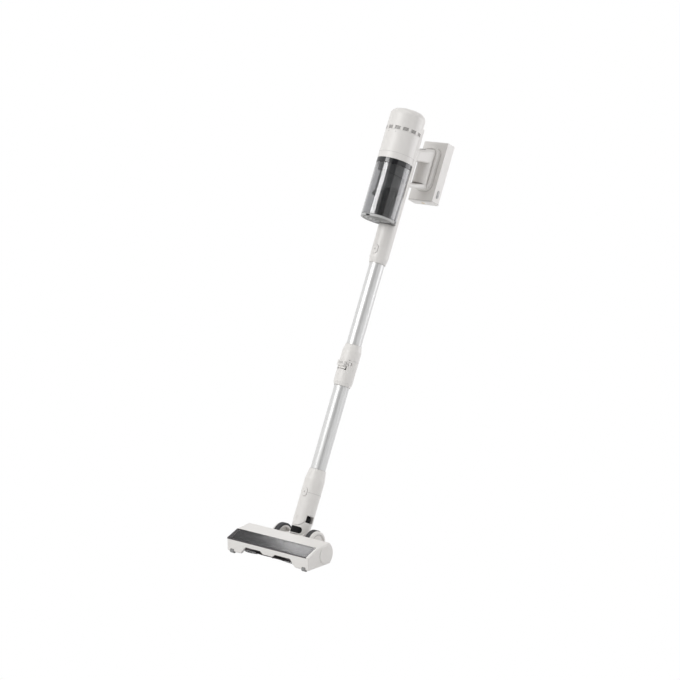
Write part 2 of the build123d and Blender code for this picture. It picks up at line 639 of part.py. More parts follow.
def fold_tab():
    """Release tab across the front of the joint, with a skirt that covers the slot below it."""
    b0, b1 = -FOLD_R - TAB_OUT, -FOLD_PIN_B - FOLD_PIN_R - TAB_WALL - SLIP - TAB_TRAVEL
    flange = block(-TAB_W / 2, TAB_W / 2, b0, b1, FOLD_S - TAB_DOWN, FOLD_S + TAB_UP)
    flange = fillet(flange.edges().filter_by(Axis.Z).sort_by(Axis.Y)[:2], 2.0)
    half = TONGUE_W / 2
    skirt = block(-half, half, -FOLD_R - 1, b1, FOLD_S - SKIRT_DOWN, FOLD_S - TAB_DOWN + SKIRT_LAP)
    return flange + (skirt & rod(FOLD_R, FOLD_S - SKIRT_DOWN, FOLD_S))


def fold_knuckle():
    """Lower half of the fold joint, with the two ears that hold the pin."""
    low = FOLD_S - FOLD_LOW
    knuckle = taper(TUBE_R + 1.5, FOLD_R, low, low + FOLD_BEVEL * 0.6)
    knuckle += rod(FOLD_R, low + FOLD_BEVEL * 0.6, FOLD_S + PIVOT_R)
    # front of the ears is rounded about the pin
    corner = block(-FOLD_R, FOLD_R, -FOLD_R - 1, -FOLD_PIN_B, FOLD_S, FOLD_S + PIVOT_R + 1)
    knuckle -= corner - pin_rod(PIVOT_R, -FOLD_R, FOLD_R)
    # slot that the tongue and its tab sweep through
    half = TONGUE_W / 2 + SLIP
    knuckle -= pin_rod(TAB_SWING, -half, half) & block(-half, half, -FOLD_R - 1, TAB_BEHIND, low, FOLD_S + FOLD_R)
    knuckle -= block(-half, half, -FOLD_R - 1, TAB_BEHIND, FOLD_S, FOLD_S + FOLD_R)
    knuckle -= rod(TUBE_R, low - 1, low + SOCKET - 5)
    knuckle -= rod(DUCT_R + SLIP, low + SOCKET - 6, FOLD_S + FOLD_R, 0, DUCT_B)
    knuckle -= pin_rod(FOLD_PIN_R, -FOLD_R, FOLD_R)
    for side in (-1, 1):
        x0, x1 = sorted((side * FOLD_HEAD_X, side * FOLD_R))
        knuckle -= pin_rod(FOLD_HEAD_R, x0, x1)
    return knuckle


FOLD_HEAD_X = 14.6                           # the pin's heads sit outside this


def fold_pin():
    end = sqrt(FOLD_R ** 2 - FOLD_PIN_B ** 2) + 0.2
    pin = pin_rod(FOLD_PIN_R, -end, end)
    for side in (-1, 1):
        x0, x1 = sorted((side * FOLD_HEAD_X, side * end))
        pin += pin_rod(FOLD_HEAD_R, x0, x1)
    return pin


def fold_duct():
    """Rubber duct in the lower half, which seals against the upper half when the wand is straight."""
    s0 = FOLD_S - FOLD_LOW + SOCKET - 5
    return ring(DUCT_R, DUCT_R - DUCT_T, s0, FOLD_S + PIVOT_R - SLIP, 0, DUCT_B)


# ---- main unit ---------------------------------------------------------------------------------
WAND_BUTTON_S = NECK_S0 + 30.0
SCOOP_R = CUP_R + SLIP
PORT_S0 = CUP_S1 - COLLAR_H - 30.0
PORT_S1 = CUP_S1 - COLLAR_H - 6.0
PORT_W = 22.0


def arm_plan():
    """Plan of the handle, rounded behind about the grip, as a tall prism."""
    s0, s1 = arm_face(LOW_UNDER, 0), arm_face(HIGH_TOP, GRIP_B + GRIP_R)
    return block(-GRIP_R, GRIP_R, 0, GRIP_B, s0, s1) + rod(GRIP_R, s0, s1, 0, GRIP_B)


def arm(under, top, inset=0.0):
    """One arm of the handle between its two sloping faces, or the room inside it."""
    b0, b1 = inset * 2, GRIP_B + GRIP_R - inset
    points = [(b0, arm_face(under, b0) + inset), (b1, arm_face(under, b1) + inset),
              (b1, arm_face(top, b1) - inset), (b0, arm_face(top, b0) - inset)]
    return side_plate(points, -GRIP_R + inset, GRIP_R - inset)


def round_arm(piece, top_edge):
    """Rounds the arm's long edges, not the end inside the spine."""
    for facing, radius in ((-1, top_edge), (0, ARM_EDGE)):
        face = piece.faces().sort_by(lambda f: f.normal_at().Z)[facing]
        piece = fillet(face.edges().filter_by(lambda e: e.center().Y > 1), radius)
    return piece


def chassis():
    """Neck, spine and handle in one, before it is split into its two half shells."""
    spine = rod(NECK_R, NECK_S0 + NECK_BEVEL, arm_face(HIGH_TOP, NECK_R))
    spine += taper(TUBE_R + 2, NECK_R, NECK_S0, NECK_S0 + NECK_BEVEL)
    over = [(-NECK_R, arm_face(HIGH_TOP, -NECK_R)), (NECK_R + 1, arm_face(HIGH_TOP, NECK_R + 1)),
            (NECK_R + 1, DOME_S), (-NECK_R, DOME_S)]
    spine -= side_plate(over, -NECK_R, NECK_R)
    fairing = rod(FAIRING_R, HIGH_TOP[0] - 10, FAIRING_S)
    spine += fillet(fairing.edges().sort_by(Axis.Z)[-1], FAIRING_EDGE)
    plan = arm_plan()
    handle = round_arm(plan & arm(HIGH_UNDER, HIGH_TOP), ARM_TOP_EDGE)
    handle += round_arm(plan & arm(LOW_UNDER, LOW_TOP), ARM_EDGE)
    handle += rod(GRIP_R, arm_face(LOW_TOP, GRIP_B) - 2, arm_face(HIGH_UNDER, GRIP_B) + 2, 0, GRIP_B)
    plate = extrude(Plane.XZ * RectangleRounded(PLATE_W, PLATE_S1 - PLATE_S0, PLATE_CORNER), -(PACK_B - PLATE_B))
    plate = fillet(plate.faces().sort_by(Axis.Y)[0].edges(), ARM_EDGE)
    plate = Pos(0, PLATE_B, (PLATE_S0 + PLATE_S1) / 2) * plate
    whole = spine + handle + plate
    # hollow: socket for the wand, duct up to the cup, room in the upper arm and in the grip
    whole -= rod(TUBE_R + SLIP, NECK_S0 - 1, NECK_S0 + SOCKET + SLIP)
    whole -= rod(TUBE_R - TUBE_T, NECK_S0, PORT_S0 - 8)
    whole -= block(-PORT_W / 2, PORT_W / 2, -CUP_B, NECK_R - 5, PORT_S0 - 12, PORT_S1)
    whole -= arm(HIGH_UNDER, HIGH_TOP, GRIP_WALL) & block(-GRIP_R, GRIP_R, 0, GRIP_B, HIGH_UNDER[0], DOME_S)
    whole -= rod(GRIP_R - GRIP_WALL, arm_face(LOW_TOP, GRIP_B) + 1, GRIP_S + 30, 0, GRIP_B)
    # seats of the cup, the motor unit, the buttons and the terminals
    whole -= rod(SCOOP_R, CUP_S0 - 2 * SLIP, CUP_S1, 0, -CUP_B)
    whole -= rod(CUP_R, CUP_S1, DOME_S, 0, -CUP_B)
    whole -= rod(SCOOP_R, CAP_S0 - SLIP, DOME_S, 0, -CUP_B)
    whole -= button_seat(NECK_R, WAND_BUTTON_S, WAND_BUTTON_W, WAND_BUTTON_H)
    whole -= mode_place() * Pos(0, 0, -MODE_T - MODE_TRAVEL) * Cylinder(MODE_R + SLIP, 20, align=SHARP)
    whole -= block(-TERMINAL_W / 2, TERMINAL_W / 2, PACK_B - TERMINAL_T, PACK_B + 1,
                   TERMINAL_S - TERMINAL_H / 2, TERMINAL_S + TERMINAL_H / 2)
    whole -= block(-CATCH_W / 2 - SLIP, CATCH_W / 2 + SLIP, -CUP_B, NECK_R + 1,
                   CATCH_S - CATCH_H / 2 - SLIP, CATCH_S + CATCH_H / 2 + SLIP)
    return whole


WAND_BUTTON_W = 14.0
WAND_BUTTON_H = 22.0
MODE_B = 44.0
MODE_S = arm_face(HIGH_TOP, MODE_B)
MODE_T = 3.6
MODE_TRAVEL = 1.2
TERMINAL_W = 24.0
TERMINAL_H = 10.0
TERMINAL_T = 5.0
TERMINAL_S = PLATE_S0 + 30.0
CATCH_W = 12.0
CATCH_H = 8.0
CATCH_OUT = 1.5
CATCH_S = CUP_S1 - COLLAR_H / 2 - 1.0


def chassis_half(side):
    keep = block(*sorted((0, side * 60)), -60, 120, NECK_S0 - 1, PLATE_S1 + 20)
    return CHASSIS & keep


def mode_place():
    """Square to the sloping top of the upper arm."""
    return Pos(0, MODE_B, MODE_S) * Rot(degrees(atan(HIGH_TOP[1])), 0, 0)


def mode_button():
    return mode_place() * Pos(0, 0, -MODE_T) * Cylinder(MODE_R, MODE_T + MODE_OUT, align=SHARP)


def terminal_block():
    return block(-TERMINAL_W / 2, TERMINAL_W / 2, PACK_B - TERMINAL_T, PACK_B,
                 TERMINAL_S - TERMINAL_H / 2, TERMINAL_S + TERMINAL_H / 2)


def cup_catch():
    """Sliding catch behind the collar that holds the cup, worked from the finger gap."""
    b0 = -CUP_B + sqrt((CUP_R - 2.0) ** 2 - (CATCH_W / 2) ** 2)
    return block(-CATCH_W / 2, CATCH_W / 2, b0, NECK_R + CATCH_OUT, CATCH_S - CATCH_H / 2, CATCH_S + CATCH_H / 2)


def motor_ring():
    """Base of the motor unit: a ring with a bulkhead that carries the motor."""
    base = rod(CUP_R, CUP_S1, RING_S1, 0, -CUP_B)
    base -= rod(CUP_R - HOUSING_T, CUP_S1 + 4, RING_S1 + 1, 0, -CUP_B)
    for ring_r, count in ((8.0, 6), (18.0, 12)):
        for k in range(count):
            spot = Rot(0, 0, 360 / count * k) * Pos(ring_r, 0, 0)
            base -= Pos(0, -CUP_B, CUP_S1 - 1) * spot * Cylinder(2.6, 6, align=SHARP)
    return base


def housing():
    return ring(CUP_R, CUP_R - HOUSING_T, RING_S1, CAP_S0 - SLIP, 0, -CUP_B)


def filter_cap():
    dome = rod(CUP_R, CAP_S0, DOME_S, 0, -CUP_B)
    dome = fillet(dome.edges().sort_by(Axis.Z)[-1], DOME_FILLET)
    inner = rod(CUP_R - HOUSING_T, CAP_S0 - 1, DOME_S - HOUSING_T, 0, -CUP_B)
    inner = fillet(inner.edges().sort_by(Axis.Z)[-1], DOME_FILLET - HOUSING_T)
    dome -= inner
    # spigot that drops into the housing
    inside = CUP_R - HOUSING_T - SLIP
    dome += ring(inside, inside - 2.0, CAP_S0 - 3.5, CAP_S0 + 1, 0, -CUP_B)
    dome += ring(CUP_R - HOUSING_T + 0.5, inside - 2.0, CAP_S0, CAP_S0 + 1, 0, -CUP_B)
    slot = Box(VENT_W, 2 * HOUSING_T + 4, VENT_SLOT)
    for k in range(VENTS):
        if k == VENTS // 2:
            continue  # this one would open behind the fairing
        for row in range(VENT_ROWS):
            z = CAP_S0 + VENT_UP + (row - (VENT_ROWS - 1) / 2) * VENT_PITCH
            turn = Rot(0, 0, 360 / VENTS * (k + 0.6))
            dome -= Pos(0, -CUP_B, z) * turn * Pos(0, -CUP_R + HOUSING_T / 2, 0) * slot
    return dome


def exhaust_filter():
    inner_fillet = DOME_FILLET - HOUSING_T
    run_out = HEPA_R - (CUP_R - HOUSING_T - inner_fillet)
    top = DOME_S - HOUSING_T - (inner_fillet - sqrt(inner_fillet ** 2 - run_out ** 2)) - SLIP
    return ring(HEPA_R, HEPA_BORE_R, top - HEPA_H, top, 0, -CUP_B)


def circuit_board():
    """Round board on three legs that stand on the motor."""
    s0 = MOTOR_S0 + MOTOR_H
    board = ring(BOARD_R, 6.0, s0 + BOARD_LEG, s0 + BOARD_LEG + 1.6, 0, -CUP_B)
    for k in range(3):
        board += Pos(0, -CUP_B, s0) * Rot(0, 0, 120 * k) * Pos(18, 0, 0) * Cylinder(2, BOARD_LEG, align=SHARP)
    board += Pos(8, -CUP_B + 16, s0 + BOARD_LEG + 5.6) * Box(14, 10, 8)
    board += Pos(-10, -CUP_B - 16, s0 + BOARD_LEG + 3.6) * Box(9, 9, 4)
    return board


MOTOR_S0 = RING_S1 - RING_H + 4 + SLIP + IMPELLER_H + 8


def motor():
    """Motor can with a cup-shaped fan cover below it that stands on the bulkhead."""
    s1 = MOTOR_S0 + MOTOR_H
    can = rod(MOTOR_R - 5, MOTOR_S0, s1, 0, -CUP_B)
    cover = ring(MOTOR_R, MOTOR_R - 2, CUP_S1 + 4, MOTOR_S0 + 4, 0, -CUP_B)
    cover += ring(MOTOR_R, SHAFT_R + 4, MOTOR_S0, MOTOR_S0 + 4, 0, -CUP_B)
    return can + cover - rod(SHAFT_R + RUN, MOTOR_S0 - 1, s1 + 1, 0, -CUP_B)


def motor_mount():
    """Rubber ring between the fan cover and the housing."""
    s0 = MOTOR_S0 - 6
    return ring(CUP_R - HOUSING_T, MOTOR_R, s0, s0 + 8, 0, -CUP_B)


def impeller():
    s0 = CUP_S1 + 4 + 2.5
    wheel = rod(IMPELLER_R, s0, s0 + 1.5, 0, -CUP_B) + rod(6.5, s0, s0 + IMPELLER_H, 0, -CUP_B)
    for k in range(9):
        blade = Rot(0, 0, 40 * k) * Pos(12.5, 0, s0 + IMPELLER_H / 2) * Rot(0, 0, 35) * Box(16, 1.0, IMPELLER_H)
        wheel += Pos(0, -CUP_B, 0) * blade
    wheel &= rod(IMPELLER_R, s0, s0 + IMPELLER_H, 0, -CUP_B)
    return wheel + rod(SHAFT_R, s0, MOTOR_S0 + MOTOR_H + 4, 0, -CUP_B)


# ---- dust cup -----------------------------------------------------------------------------------
COLLAR_S0 = CUP_S1 - SLIP - COLLAR_H
SHROUD_S1 = COLLAR_S0
SHROUD_S0 = SHROUD_S1 - SHROUD_H
LID_S1 = CUP_S0 + LID_T
LATCH_GAP = 11.0


def cup_wall():
    wall = ring(CUP_R, CUP_R - CUP_T, CUP_S0, COLLAR_S0, 0, -CUP_B)
    floor = rod(CUP_R, CUP_S0, LID_S1, 0, -CUP_B) & block(-CUP_R, CUP_R, -HINGE_B, CUP_R, CUP_S0, LID_S1)
    wall += floor
    wall -= rod(CUP_R + 1, CUP_S0 - 1, LID_S1 + SLIP, 0, -CUP_B) & \
        block(-CUP_R - 1, CUP_R + 1, -CUP_B - CUP_R - 1, -HINGE_B + HINGE_R + SLIP, CUP_S0 - 1, LID_S1 + SLIP)
    wall -= block(-PORT_W / 2, PORT_W / 2, -CUP_B + CUP_R - 9, CUP_R, PORT_S0, PORT_S1)
    for side in (-1, 1):
        x0, x1 = sorted((side * 26.0, side * 32.0))
        ear = block(x0, x1, -HINGE_B - HINGE_R, -HINGE_B + HINGE_R + 2, HINGE_S, LID_S1 + 3)
        ear += rod_x(HINGE_R, x0, x1, -HINGE_B, HINGE_S)
        wall += ear & rod(CUP_R, CUP_S0, LID_S1 + 3, 0, -CUP_B)
    return wall - rod_x(LID_PIN_R, -CUP_R, CUP_R, -HINGE_B, HINGE_S)


HINGE_S = CUP_S0 + HINGE_R


def cup_lid():
    lid = rod(CUP_R, CUP_S0, LID_S1, 0, -CUP_B)
    lid &= block(-CUP_R, CUP_R, -CUP_B - CUP_R, -HINGE_B, CUP_S0, LID_S1)
    round_back = block(-CUP_R, CUP_R, -HINGE_B - HINGE_R, -HINGE_B, HINGE_S, LID_S1 + 1)
    lid -= round_back - rod_x(HINGE_R, -CUP_R, CUP_R, -HINGE_B, HINGE_S)
    lid += rod_x(HINGE_R, -25, 25, -HINGE_B, HINGE_S)
    for side in (-1, 1):
        x0, x1 = sorted((side * (26.0 - SLIP), side * (32.0 + SLIP)))
        lid -= block(x0, x1, -HINGE_B - HINGE_R - 1, 0, CUP_S0 - 1, LID_S1 + 1)
    # concentric ribs on the underside, and the notch for the latch
    for groove in (14.0, 24.0, 33.0):
        lid -= ring(groove + 1.5, groove, CUP_S0 - 1, CUP_S0 + 1.0, 0, -CUP_B - 4) & \
            block(-CUP_R, CUP_R, -CUP_B - CUP_R + 8, -HINGE_B - HINGE_R - 3, CUP_S0 - 1, LID_S1)
    lid -= block(-LATCH_GAP / 2, LATCH_GAP / 2, -CUP_B - CUP_R - 1, -CUP_B - CUP_R + 5, CUP_S0 - 1, CUP_S0 + 3)
    return lid - rod_x(LID_PIN_R + RUN, -CUP_R, CUP_R, -HINGE_B, HINGE_S)


def lid_pin():
    return rod_x(LID_PIN_R, -LID_PIN_X, LID_PIN_X, -HINGE_B, HINGE_S)


def lid_latch():
    """Small catch in the front edge of the lid."""
    half = LATCH_GAP / 2 - SLIP
    b0 = -CUP_B - CUP_R + 0.4
    return block(-half, half, b0, b0 + 3.0, CUP_S0 + 0.2, CUP_S0 + 2.7)


def cup_collar():
    collar = ring(CUP_R, FILTER_R, COLLAR_S0, CUP_S1 - SLIP, 0, -CUP_B)
    collar += ring(FILTER_R + 1, SHROUD_R - SHROUD_T - 1, COLLAR_S0, COLLAR_S0 + 2.4, 0, -CUP_B)
    notch_b = -CUP_B + CUP_R - 2.6
    return collar - block(-CATCH_W / 2 - SLIP, CATCH_W / 2 + SLIP, notch_b, 10,
                          CATCH_S - CATCH_H / 2 - SLIP, CATCH_S + CATCH_H / 2 + SLIP)


def pre_filter():
    return rod(FILTER_R - SLIP, COLLAR_S0 + 2.4, COLLAR_S0 + 2.4 + FILTER_H, 0, -CUP_B)


def cyclone_shroud():
    """Perforated sleeve with a wider skirt at its foot."""
    sleeve = ring(SHROUD_R, SHROUD_R - SHROUD_T, SHROUD_S0, SHROUD_S1, 0, -CUP_B)
    skirt = ring(SKIRT_R, CONE_R, SHROUD_S0 - SKIRT_H, SHROUD_S0, 0, -CUP_B)
    return sleeve + skirt


def cyclone_cone():
    s1 = SHROUD_S0 - SKIRT_H / 2
    cone = taper(CONE_TIP_R, CONE_R, s1 - CONE_H, s1, 0, -CUP_B)
    return cone - taper(CONE_TIP_R - 1.6, CONE_R - 1.6, s1 - CONE_H, s1, 0, -CUP_B)


# ---- battery pack ---------------------------------------------------------------------------------
PACK_S1 = PACK_S0 + PACK_H
PACK_BACK = PACK_B + PACK_T
PACK_MID = PACK_B + PACK_T / 2
CELL_B = PACK_BACK - PACK_T_WALL - SLIP - CELL_R
PACK_BOARD_T = 1.6
BOARD_X = 27.0              # half the board's width
BOARD_S = 50.0              # half its length
CHIP_W = 6.0
CHIP_T = 1.2
CHIP_X = -17.0
CHIP_PITCH = 9.0


def pack_case():
    shell = block(-PACK_W / 2, PACK_W / 2, PACK_B, PACK_BACK, PACK_S0, PACK_S1)
    back = shell.edges().filter_by(Axis.Z).sort_by(Axis.Y)[-2:]
    shell = fillet(back, PACK_FILLET)
    shell = fillet(shell.faces().sort_by(Axis.Z)[-1].edges(), PACK_TOP_EDGE)
    t = PACK_T_WALL
    inner = block(-PACK_W / 2 + t, PACK_W / 2 - t, PACK_B + t, PACK_BACK - t, PACK_S0 + FOOT_T, PACK_S1 - FOOT_T)
    inner = fillet(inner.edges().filter_by(Axis.Z).sort_by(Axis.Y)[-2:], PACK_FILLET - t)
    shell -= inner
    shell -= block(-PACK_W, PACK_W, PACK_B - 1, PACK_BACK + 1, PACK_S0 - 1, PACK_S0 + FOOT_T)
    for side in (-1, 1):
        shell -= latch_shape(side, SLIP, 8)
    return shell


def pack_foot():
    """Closing cap at the foot of the pack, with the charging jack in it."""
    foot = block(-PACK_W / 2, PACK_W / 2, PACK_B, PACK_BACK, PACK_S0, PACK_S0 + FOOT_T)
    foot = fillet(foot.edges().filter_by(Axis.Z).sort_by(Axis.Y)[-2:], PACK_FILLET)
    foot = fillet(foot.faces().sort_by(Axis.Z)[0].edges(), 1.5)
    return foot - rod(JACK_R + JACK_T, PACK_S0 - 1, PACK_S0 + FOOT_T + 1, 0, PACK_MID)


def latch_shape(side, grow, depth):
    """Upright stadium across the pack's side wall."""
    face = side * (PACK_W / 2 + LATCH_OUT)
    slot = SlotOverall(LATCH_H + 2 * grow, LATCH_W + 2 * grow, rotation=90)
    solid = extrude(Plane.YZ * slot, depth if side < 0 else -depth)
    return Pos(face, PACK_MID, PACK_S0 + LATCH_S) * solid


def pack_latch(side):
    return latch_shape(side, 0, LATCH_OUT + PACK_T_WALL + 1.2)


def cells():
    """Two rows of three round cells."""
    group = []
    pitch = 2 * CELL_R + 1.2
    for row in range(2):
        s0 = PACK_S1 - FOOT_T - SLIP - (row + 1) * CELL_H - row * CELL_GAP
        for col in (-1, 0, 1):
            group.append(rod(CELL_R, s0, s0 + CELL_H, col * pitch, CELL_B))
    return Compound(children=group)


def pack_board():
    """Protection board on the pack's front wall, with its four switches."""
    b0 = PACK_B + PACK_T_WALL
    middle = (PACK_S0 + PACK_S1) / 2
    board = block(-BOARD_X, BOARD_X, b0, b0 + PACK_BOARD_T, middle - BOARD_S, middle + BOARD_S)
    for k in range(4):
        s = middle + BOARD_S - (k + 1.5) * CHIP_PITCH
        board += block(CHIP_X - CHIP_W / 2, CHIP_X + CHIP_W / 2, b0, b0 + PACK_BOARD_T + CHIP_T, s - CHIP_W / 2, s + CHIP_W / 2)
    return board


def charge_jack():
    jack = rod(JACK_R + JACK_T, PACK_S0, PACK_S0 + JACK_L, 0, PACK_MID)
    return jack - rod(JACK_R, PACK_S0 - 1, PACK_S0 + JACK_L - 1, 0, PACK_MID)


# ---- write every piece ------------------------------------------------------------------------------
SIDES = (("left", -1), ("right", 1))

save("head_base", stand(head_base()))
save("head_cover", stand(head_cover()))
save("head_window", stand(head_window()))
save("end_cap", stand(end_cap(-1)))
save("brush_cap", stand(end_cap(1)))
save("brush_roll", stand(brush_roll()))
save("brush_bristles", stand(brush_bristles()))
save("drive_belt", stand(drive_belt()))
save("drive_motor", stand(drive_motor()))
save("drive_pinion", stand(drive_pinion()))
save("rear_axle", stand(rear_axle()))
for word, side in SIDES:
    save(f"wheel_hub_{word}", stand(wheel_hub(side)))
    save(f"wheel_tyre_{word}", stand(wheel_tyre(side)))
    save(f"front_roller_{word}", stand(front_roller(side)))

save("neck_yoke", lean(neck_yoke()))
save("yoke_insert", lean(yoke_insert()))
save("swivel_ball", lean(swivel_ball()))
save("neck_sleeve", lean(neck_sleeve()))
save("neck_button", lean(front_button(SLEEVE_R, NECK_BUTTON_S, NECK_BUTTON_W, NECK_BUTTON_H)))
save("lower_tube", lean(lower_tube()))
save("upper_tube", lean(upper_tube()))
save("fold_fork", lean(fold_fork()))
save("fold_tab", lean(fold_tab()))
save("fold_knuckle", lean(fold_knuckle()))
save("fold_pin", lean(fold_pin()))
save("fold_duct", lean(fold_duct()))

CHASSIS = chassis()
for word, side in SIDES:
    save(f"chassis_{word}", lean(chassis_half(side)))
save("wand_button", lean(front_button(NECK_R, WAND_BUTTON_S, WAND_BUTTON_W, WAND_BUTTON_H)))
save("mode_button", lean(mode_button()))
save("terminal_block", lean(terminal_block()))
save("cup_catch", lean(cup_catch()))
save("motor_ring", lean(motor_ring()))
save("motor_housing", lean(housing()))
save("filter_cap", lean(filter_cap()))
save("exhaust_filter", lean(exhaust_filter()))
save("motor", lean(motor()))
save("motor_mount", lean(motor_mount()))
save("impeller", lean(impeller()))
save("circuit_board", lean(circuit_board()))

save("cup_wall", lean(cup_wall()))
save("cup_collar", lean(cup_collar()))
save("pre_filter", lean(pre_filter()))
save("cyclone_shroud", lean(cyclone_shroud()))
save("cyclone_cone", lean(cyclone_cone()))
save("cup_lid", lean(cup_lid()))
save("lid_pin", lean(lid_pin()))
save("lid_latch", lean(lid_latch()))

save("pack_case", lean(pack_case()))
save("pack_foot", lean(pack_foot()))
save("battery_cells", lean(cells()))
save("pack_board", lean(pack_board()))
save("charge_jack", lean(charge_jack()))
for word, side in SIDES:
    save(f"pack_latch_{word}", lean(pack_latch(side)))

print(len(written), "nodes written")
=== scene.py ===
"""Looks of the cordless stick vacuum: materials, fine detail, light, floor and camera."""

import json
import math
import random

import bmesh
import bpy
from mathutils import Matrix, Vector


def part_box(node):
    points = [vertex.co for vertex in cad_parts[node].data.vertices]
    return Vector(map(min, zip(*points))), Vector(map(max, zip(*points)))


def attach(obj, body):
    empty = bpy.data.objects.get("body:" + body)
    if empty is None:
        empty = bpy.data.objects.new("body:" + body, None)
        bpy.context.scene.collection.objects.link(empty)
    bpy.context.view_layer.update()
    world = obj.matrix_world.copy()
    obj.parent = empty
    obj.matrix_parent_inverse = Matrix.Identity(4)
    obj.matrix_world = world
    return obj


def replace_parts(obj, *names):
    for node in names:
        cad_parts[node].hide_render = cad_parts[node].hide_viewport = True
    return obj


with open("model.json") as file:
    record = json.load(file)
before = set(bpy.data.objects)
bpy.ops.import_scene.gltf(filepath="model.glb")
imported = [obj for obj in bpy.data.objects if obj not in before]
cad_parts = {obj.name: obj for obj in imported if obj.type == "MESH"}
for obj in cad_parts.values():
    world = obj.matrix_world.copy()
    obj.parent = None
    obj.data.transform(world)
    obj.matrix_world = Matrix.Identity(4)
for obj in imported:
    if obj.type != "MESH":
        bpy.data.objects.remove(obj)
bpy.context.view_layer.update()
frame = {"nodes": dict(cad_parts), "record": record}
NODES = frame["nodes"]
JOINTS = {joint["name"]: joint for joint in frame["record"]["behaviour"]["joints"]}

# ---- places ------------------------------------------------------------------------------------
# the wand's own axes: X across, B out of its back, S up it from the wheel axle
B_AXIS = Vector(JOINTS["swivel"]["axis"]).normalized()
S_AXIS = Vector((1, 0, 0)).cross(B_AXIS).normalized()
AXLE = Vector(JOINTS["tilt"]["pos_m"])
FLOOR_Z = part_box("wheel_tyre_left")[0].z
WAND = Matrix((
    (1, B_AXIS.x, S_AXIS.x, AXLE.x),
    (0, B_AXIS.y, S_AXIS.y, AXLE.y),
    (0, B_AXIS.z, S_AXIS.z, AXLE.z),
    (0, 0, 0, 1),
))
MM = Matrix.Scale(0.001, 4)
WAND_MM = WAND @ MM
# the head's own axes: X across, Y back from its front edge, Z up from the floor
HEAD_MM = Matrix.Translation((0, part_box("head_base")[0].y, FLOOR_Z)) @ MM


def at(x, y, z):
    return Matrix.Translation((x, y, z))


def turn(degrees, axis):
    return Matrix.Rotation(math.radians(degrees), 4, axis)


def node_span(node, place):
    """Lowest and highest corner of a CAD node in millimetres of the given frame."""
    back = place.inverted()
    points = [back @ v.co for v in NODES[node].data.vertices]
    return (Vector([min(p[i] for p in points) for i in range(3)]),
            Vector([max(p[i] for p in points) for i in range(3)]))


# ---- materials ---------------------------------------------------------------------------------
class Tree:
    """A node tree under construction."""

    def __init__(self, tree):
        self.tree = tree
        self.tree.nodes.clear()

    def add(self, kind, **values):
        node = self.tree.nodes.new(kind)
        for key, value in values.items():
            setattr(node, key, value)
        return node

    def link(self, source, target):
        self.tree.links.new(source, target)

    def math(self, kind, a, b=None):
        node = self.add("ShaderNodeMath", operation=kind)
        for socket, value in zip(node.inputs, (a, b)):
            if value is None:
                continue
            if isinstance(value, (int, float)):
                socket.default_value = value
            else:
                self.link(value, socket)
        return node.outputs[0]

    def seen(self):
        """1 for a ray that the viewer sees, straight on, mirrored or through clear plastic."""
        path = self.add("ShaderNodeLightPath")
        either = self.math("MAXIMUM", path.outputs["Is Camera Ray"], path.outputs["Is Transmission Ray"])
        return self.math("MAXIMUM", either, path.outputs["Is Glossy Ray"])

    def glow(self, kind, strength):
        """White light of an emission or background node."""
        node = self.add(kind)
        node.inputs["Color"].default_value = (1, 1, 1, 1)
        node.inputs["Strength"].default_value = strength
        return node.outputs[0]

    def mix(self, share, first, second):
        node = self.add("ShaderNodeMixShader")
        for socket, source in zip(node.inputs, (share, first, second)):
            self.link(source, socket)
        return node.outputs[0]


class Shader(Tree):
    """A surface material around one principled shader."""

    def __init__(self, name):
        self.material = bpy.data.materials.new(name)
        self.material.use_nodes = True
        super().__init__(self.material.node_tree)
        self.out = self.add("ShaderNodeOutputMaterial")
        self.main = self.add("ShaderNodeBsdfPrincipled")
        self.link(self.main.outputs[0], self.out.inputs["Surface"])
        self.coords = self.add("ShaderNodeTexCoord").outputs["Object"]

    def set(self, **values):
        for key, value in values.items():
            self.main.inputs[key.replace("_", " ")].default_value = value

    def mapped(self, scale=(1, 1, 1), turned=(0, 0, 0), vector=None):
        node = self.add("ShaderNodeMapping")
        node.inputs["Scale"].default_value = scale
        node.inputs["Rotation"].default_value = turned
        self.link(vector or self.coords, node.inputs["Vector"])
        return node.outputs["Vector"]

    def noise(self, scale, detail=3.0, rough=0.5, vector=None):
        node = self.add("ShaderNodeTexNoise")
        node.inputs["Scale"].default_value = scale
        node.inputs["Detail"].default_value = detail
        node.inputs["Roughness"].default_value = rough
        self.link(vector or self.coords, node.inputs["Vector"])
        return node.outputs["Fac"]

    def colour(self, fac, stops):
        """Base colour from (place, colour) stops along a value."""
        node = self.add("ShaderNodeValToRGB")
        ramp = node.color_ramp
        while len(ramp.elements) < len(stops):
            ramp.elements.new(0.5)
        for element, (place, colour) in zip(ramp.elements, stops):
            element.position = place
            element.color = (*colour, 1)
        self.link(fac, node.inputs["Fac"])
        self.link(node.outputs["Color"], self.main.inputs["Base Color"])

    def span(self, fac, low, high, start=0.0, end=1.0):
        node = self.add("ShaderNodeMapRange")
        for socket, value in (("From Min", start), ("From Max", end), ("To Min", low), ("To Max", high)):
            node.inputs[socket].default_value = value
        self.link(fac, node.inputs["Value"])
        return node.outputs["Result"]

    def roughness(self, fac, low, high, start=0.3, end=0.7):
        self.link(self.span(fac, low, high, start, end), self.main.inputs["Roughness"])

    def bump(self, height, distance, strength=1.0, edge=None):
        """Fine relief, in metres, over edges softened to the given radius."""
        node = self.add("ShaderNodeBump")
        node.inputs["Distance"].default_value = distance
        node.inputs["Strength"].default_value = strength
        self.link(height, node.inputs["Height"])
        if edge is not None:
            bevel = self.add("ShaderNodeBevel", samples=4)
            bevel.inputs["Radius"].default_value = edge
            self.link(bevel.outputs["Normal"], node.inputs["Normal"])
        self.link(node.outputs["Normal"], self.main.inputs["Normal"])


def shade(base, factor):
    return tuple(min(1.0, c * factor) for c in base)


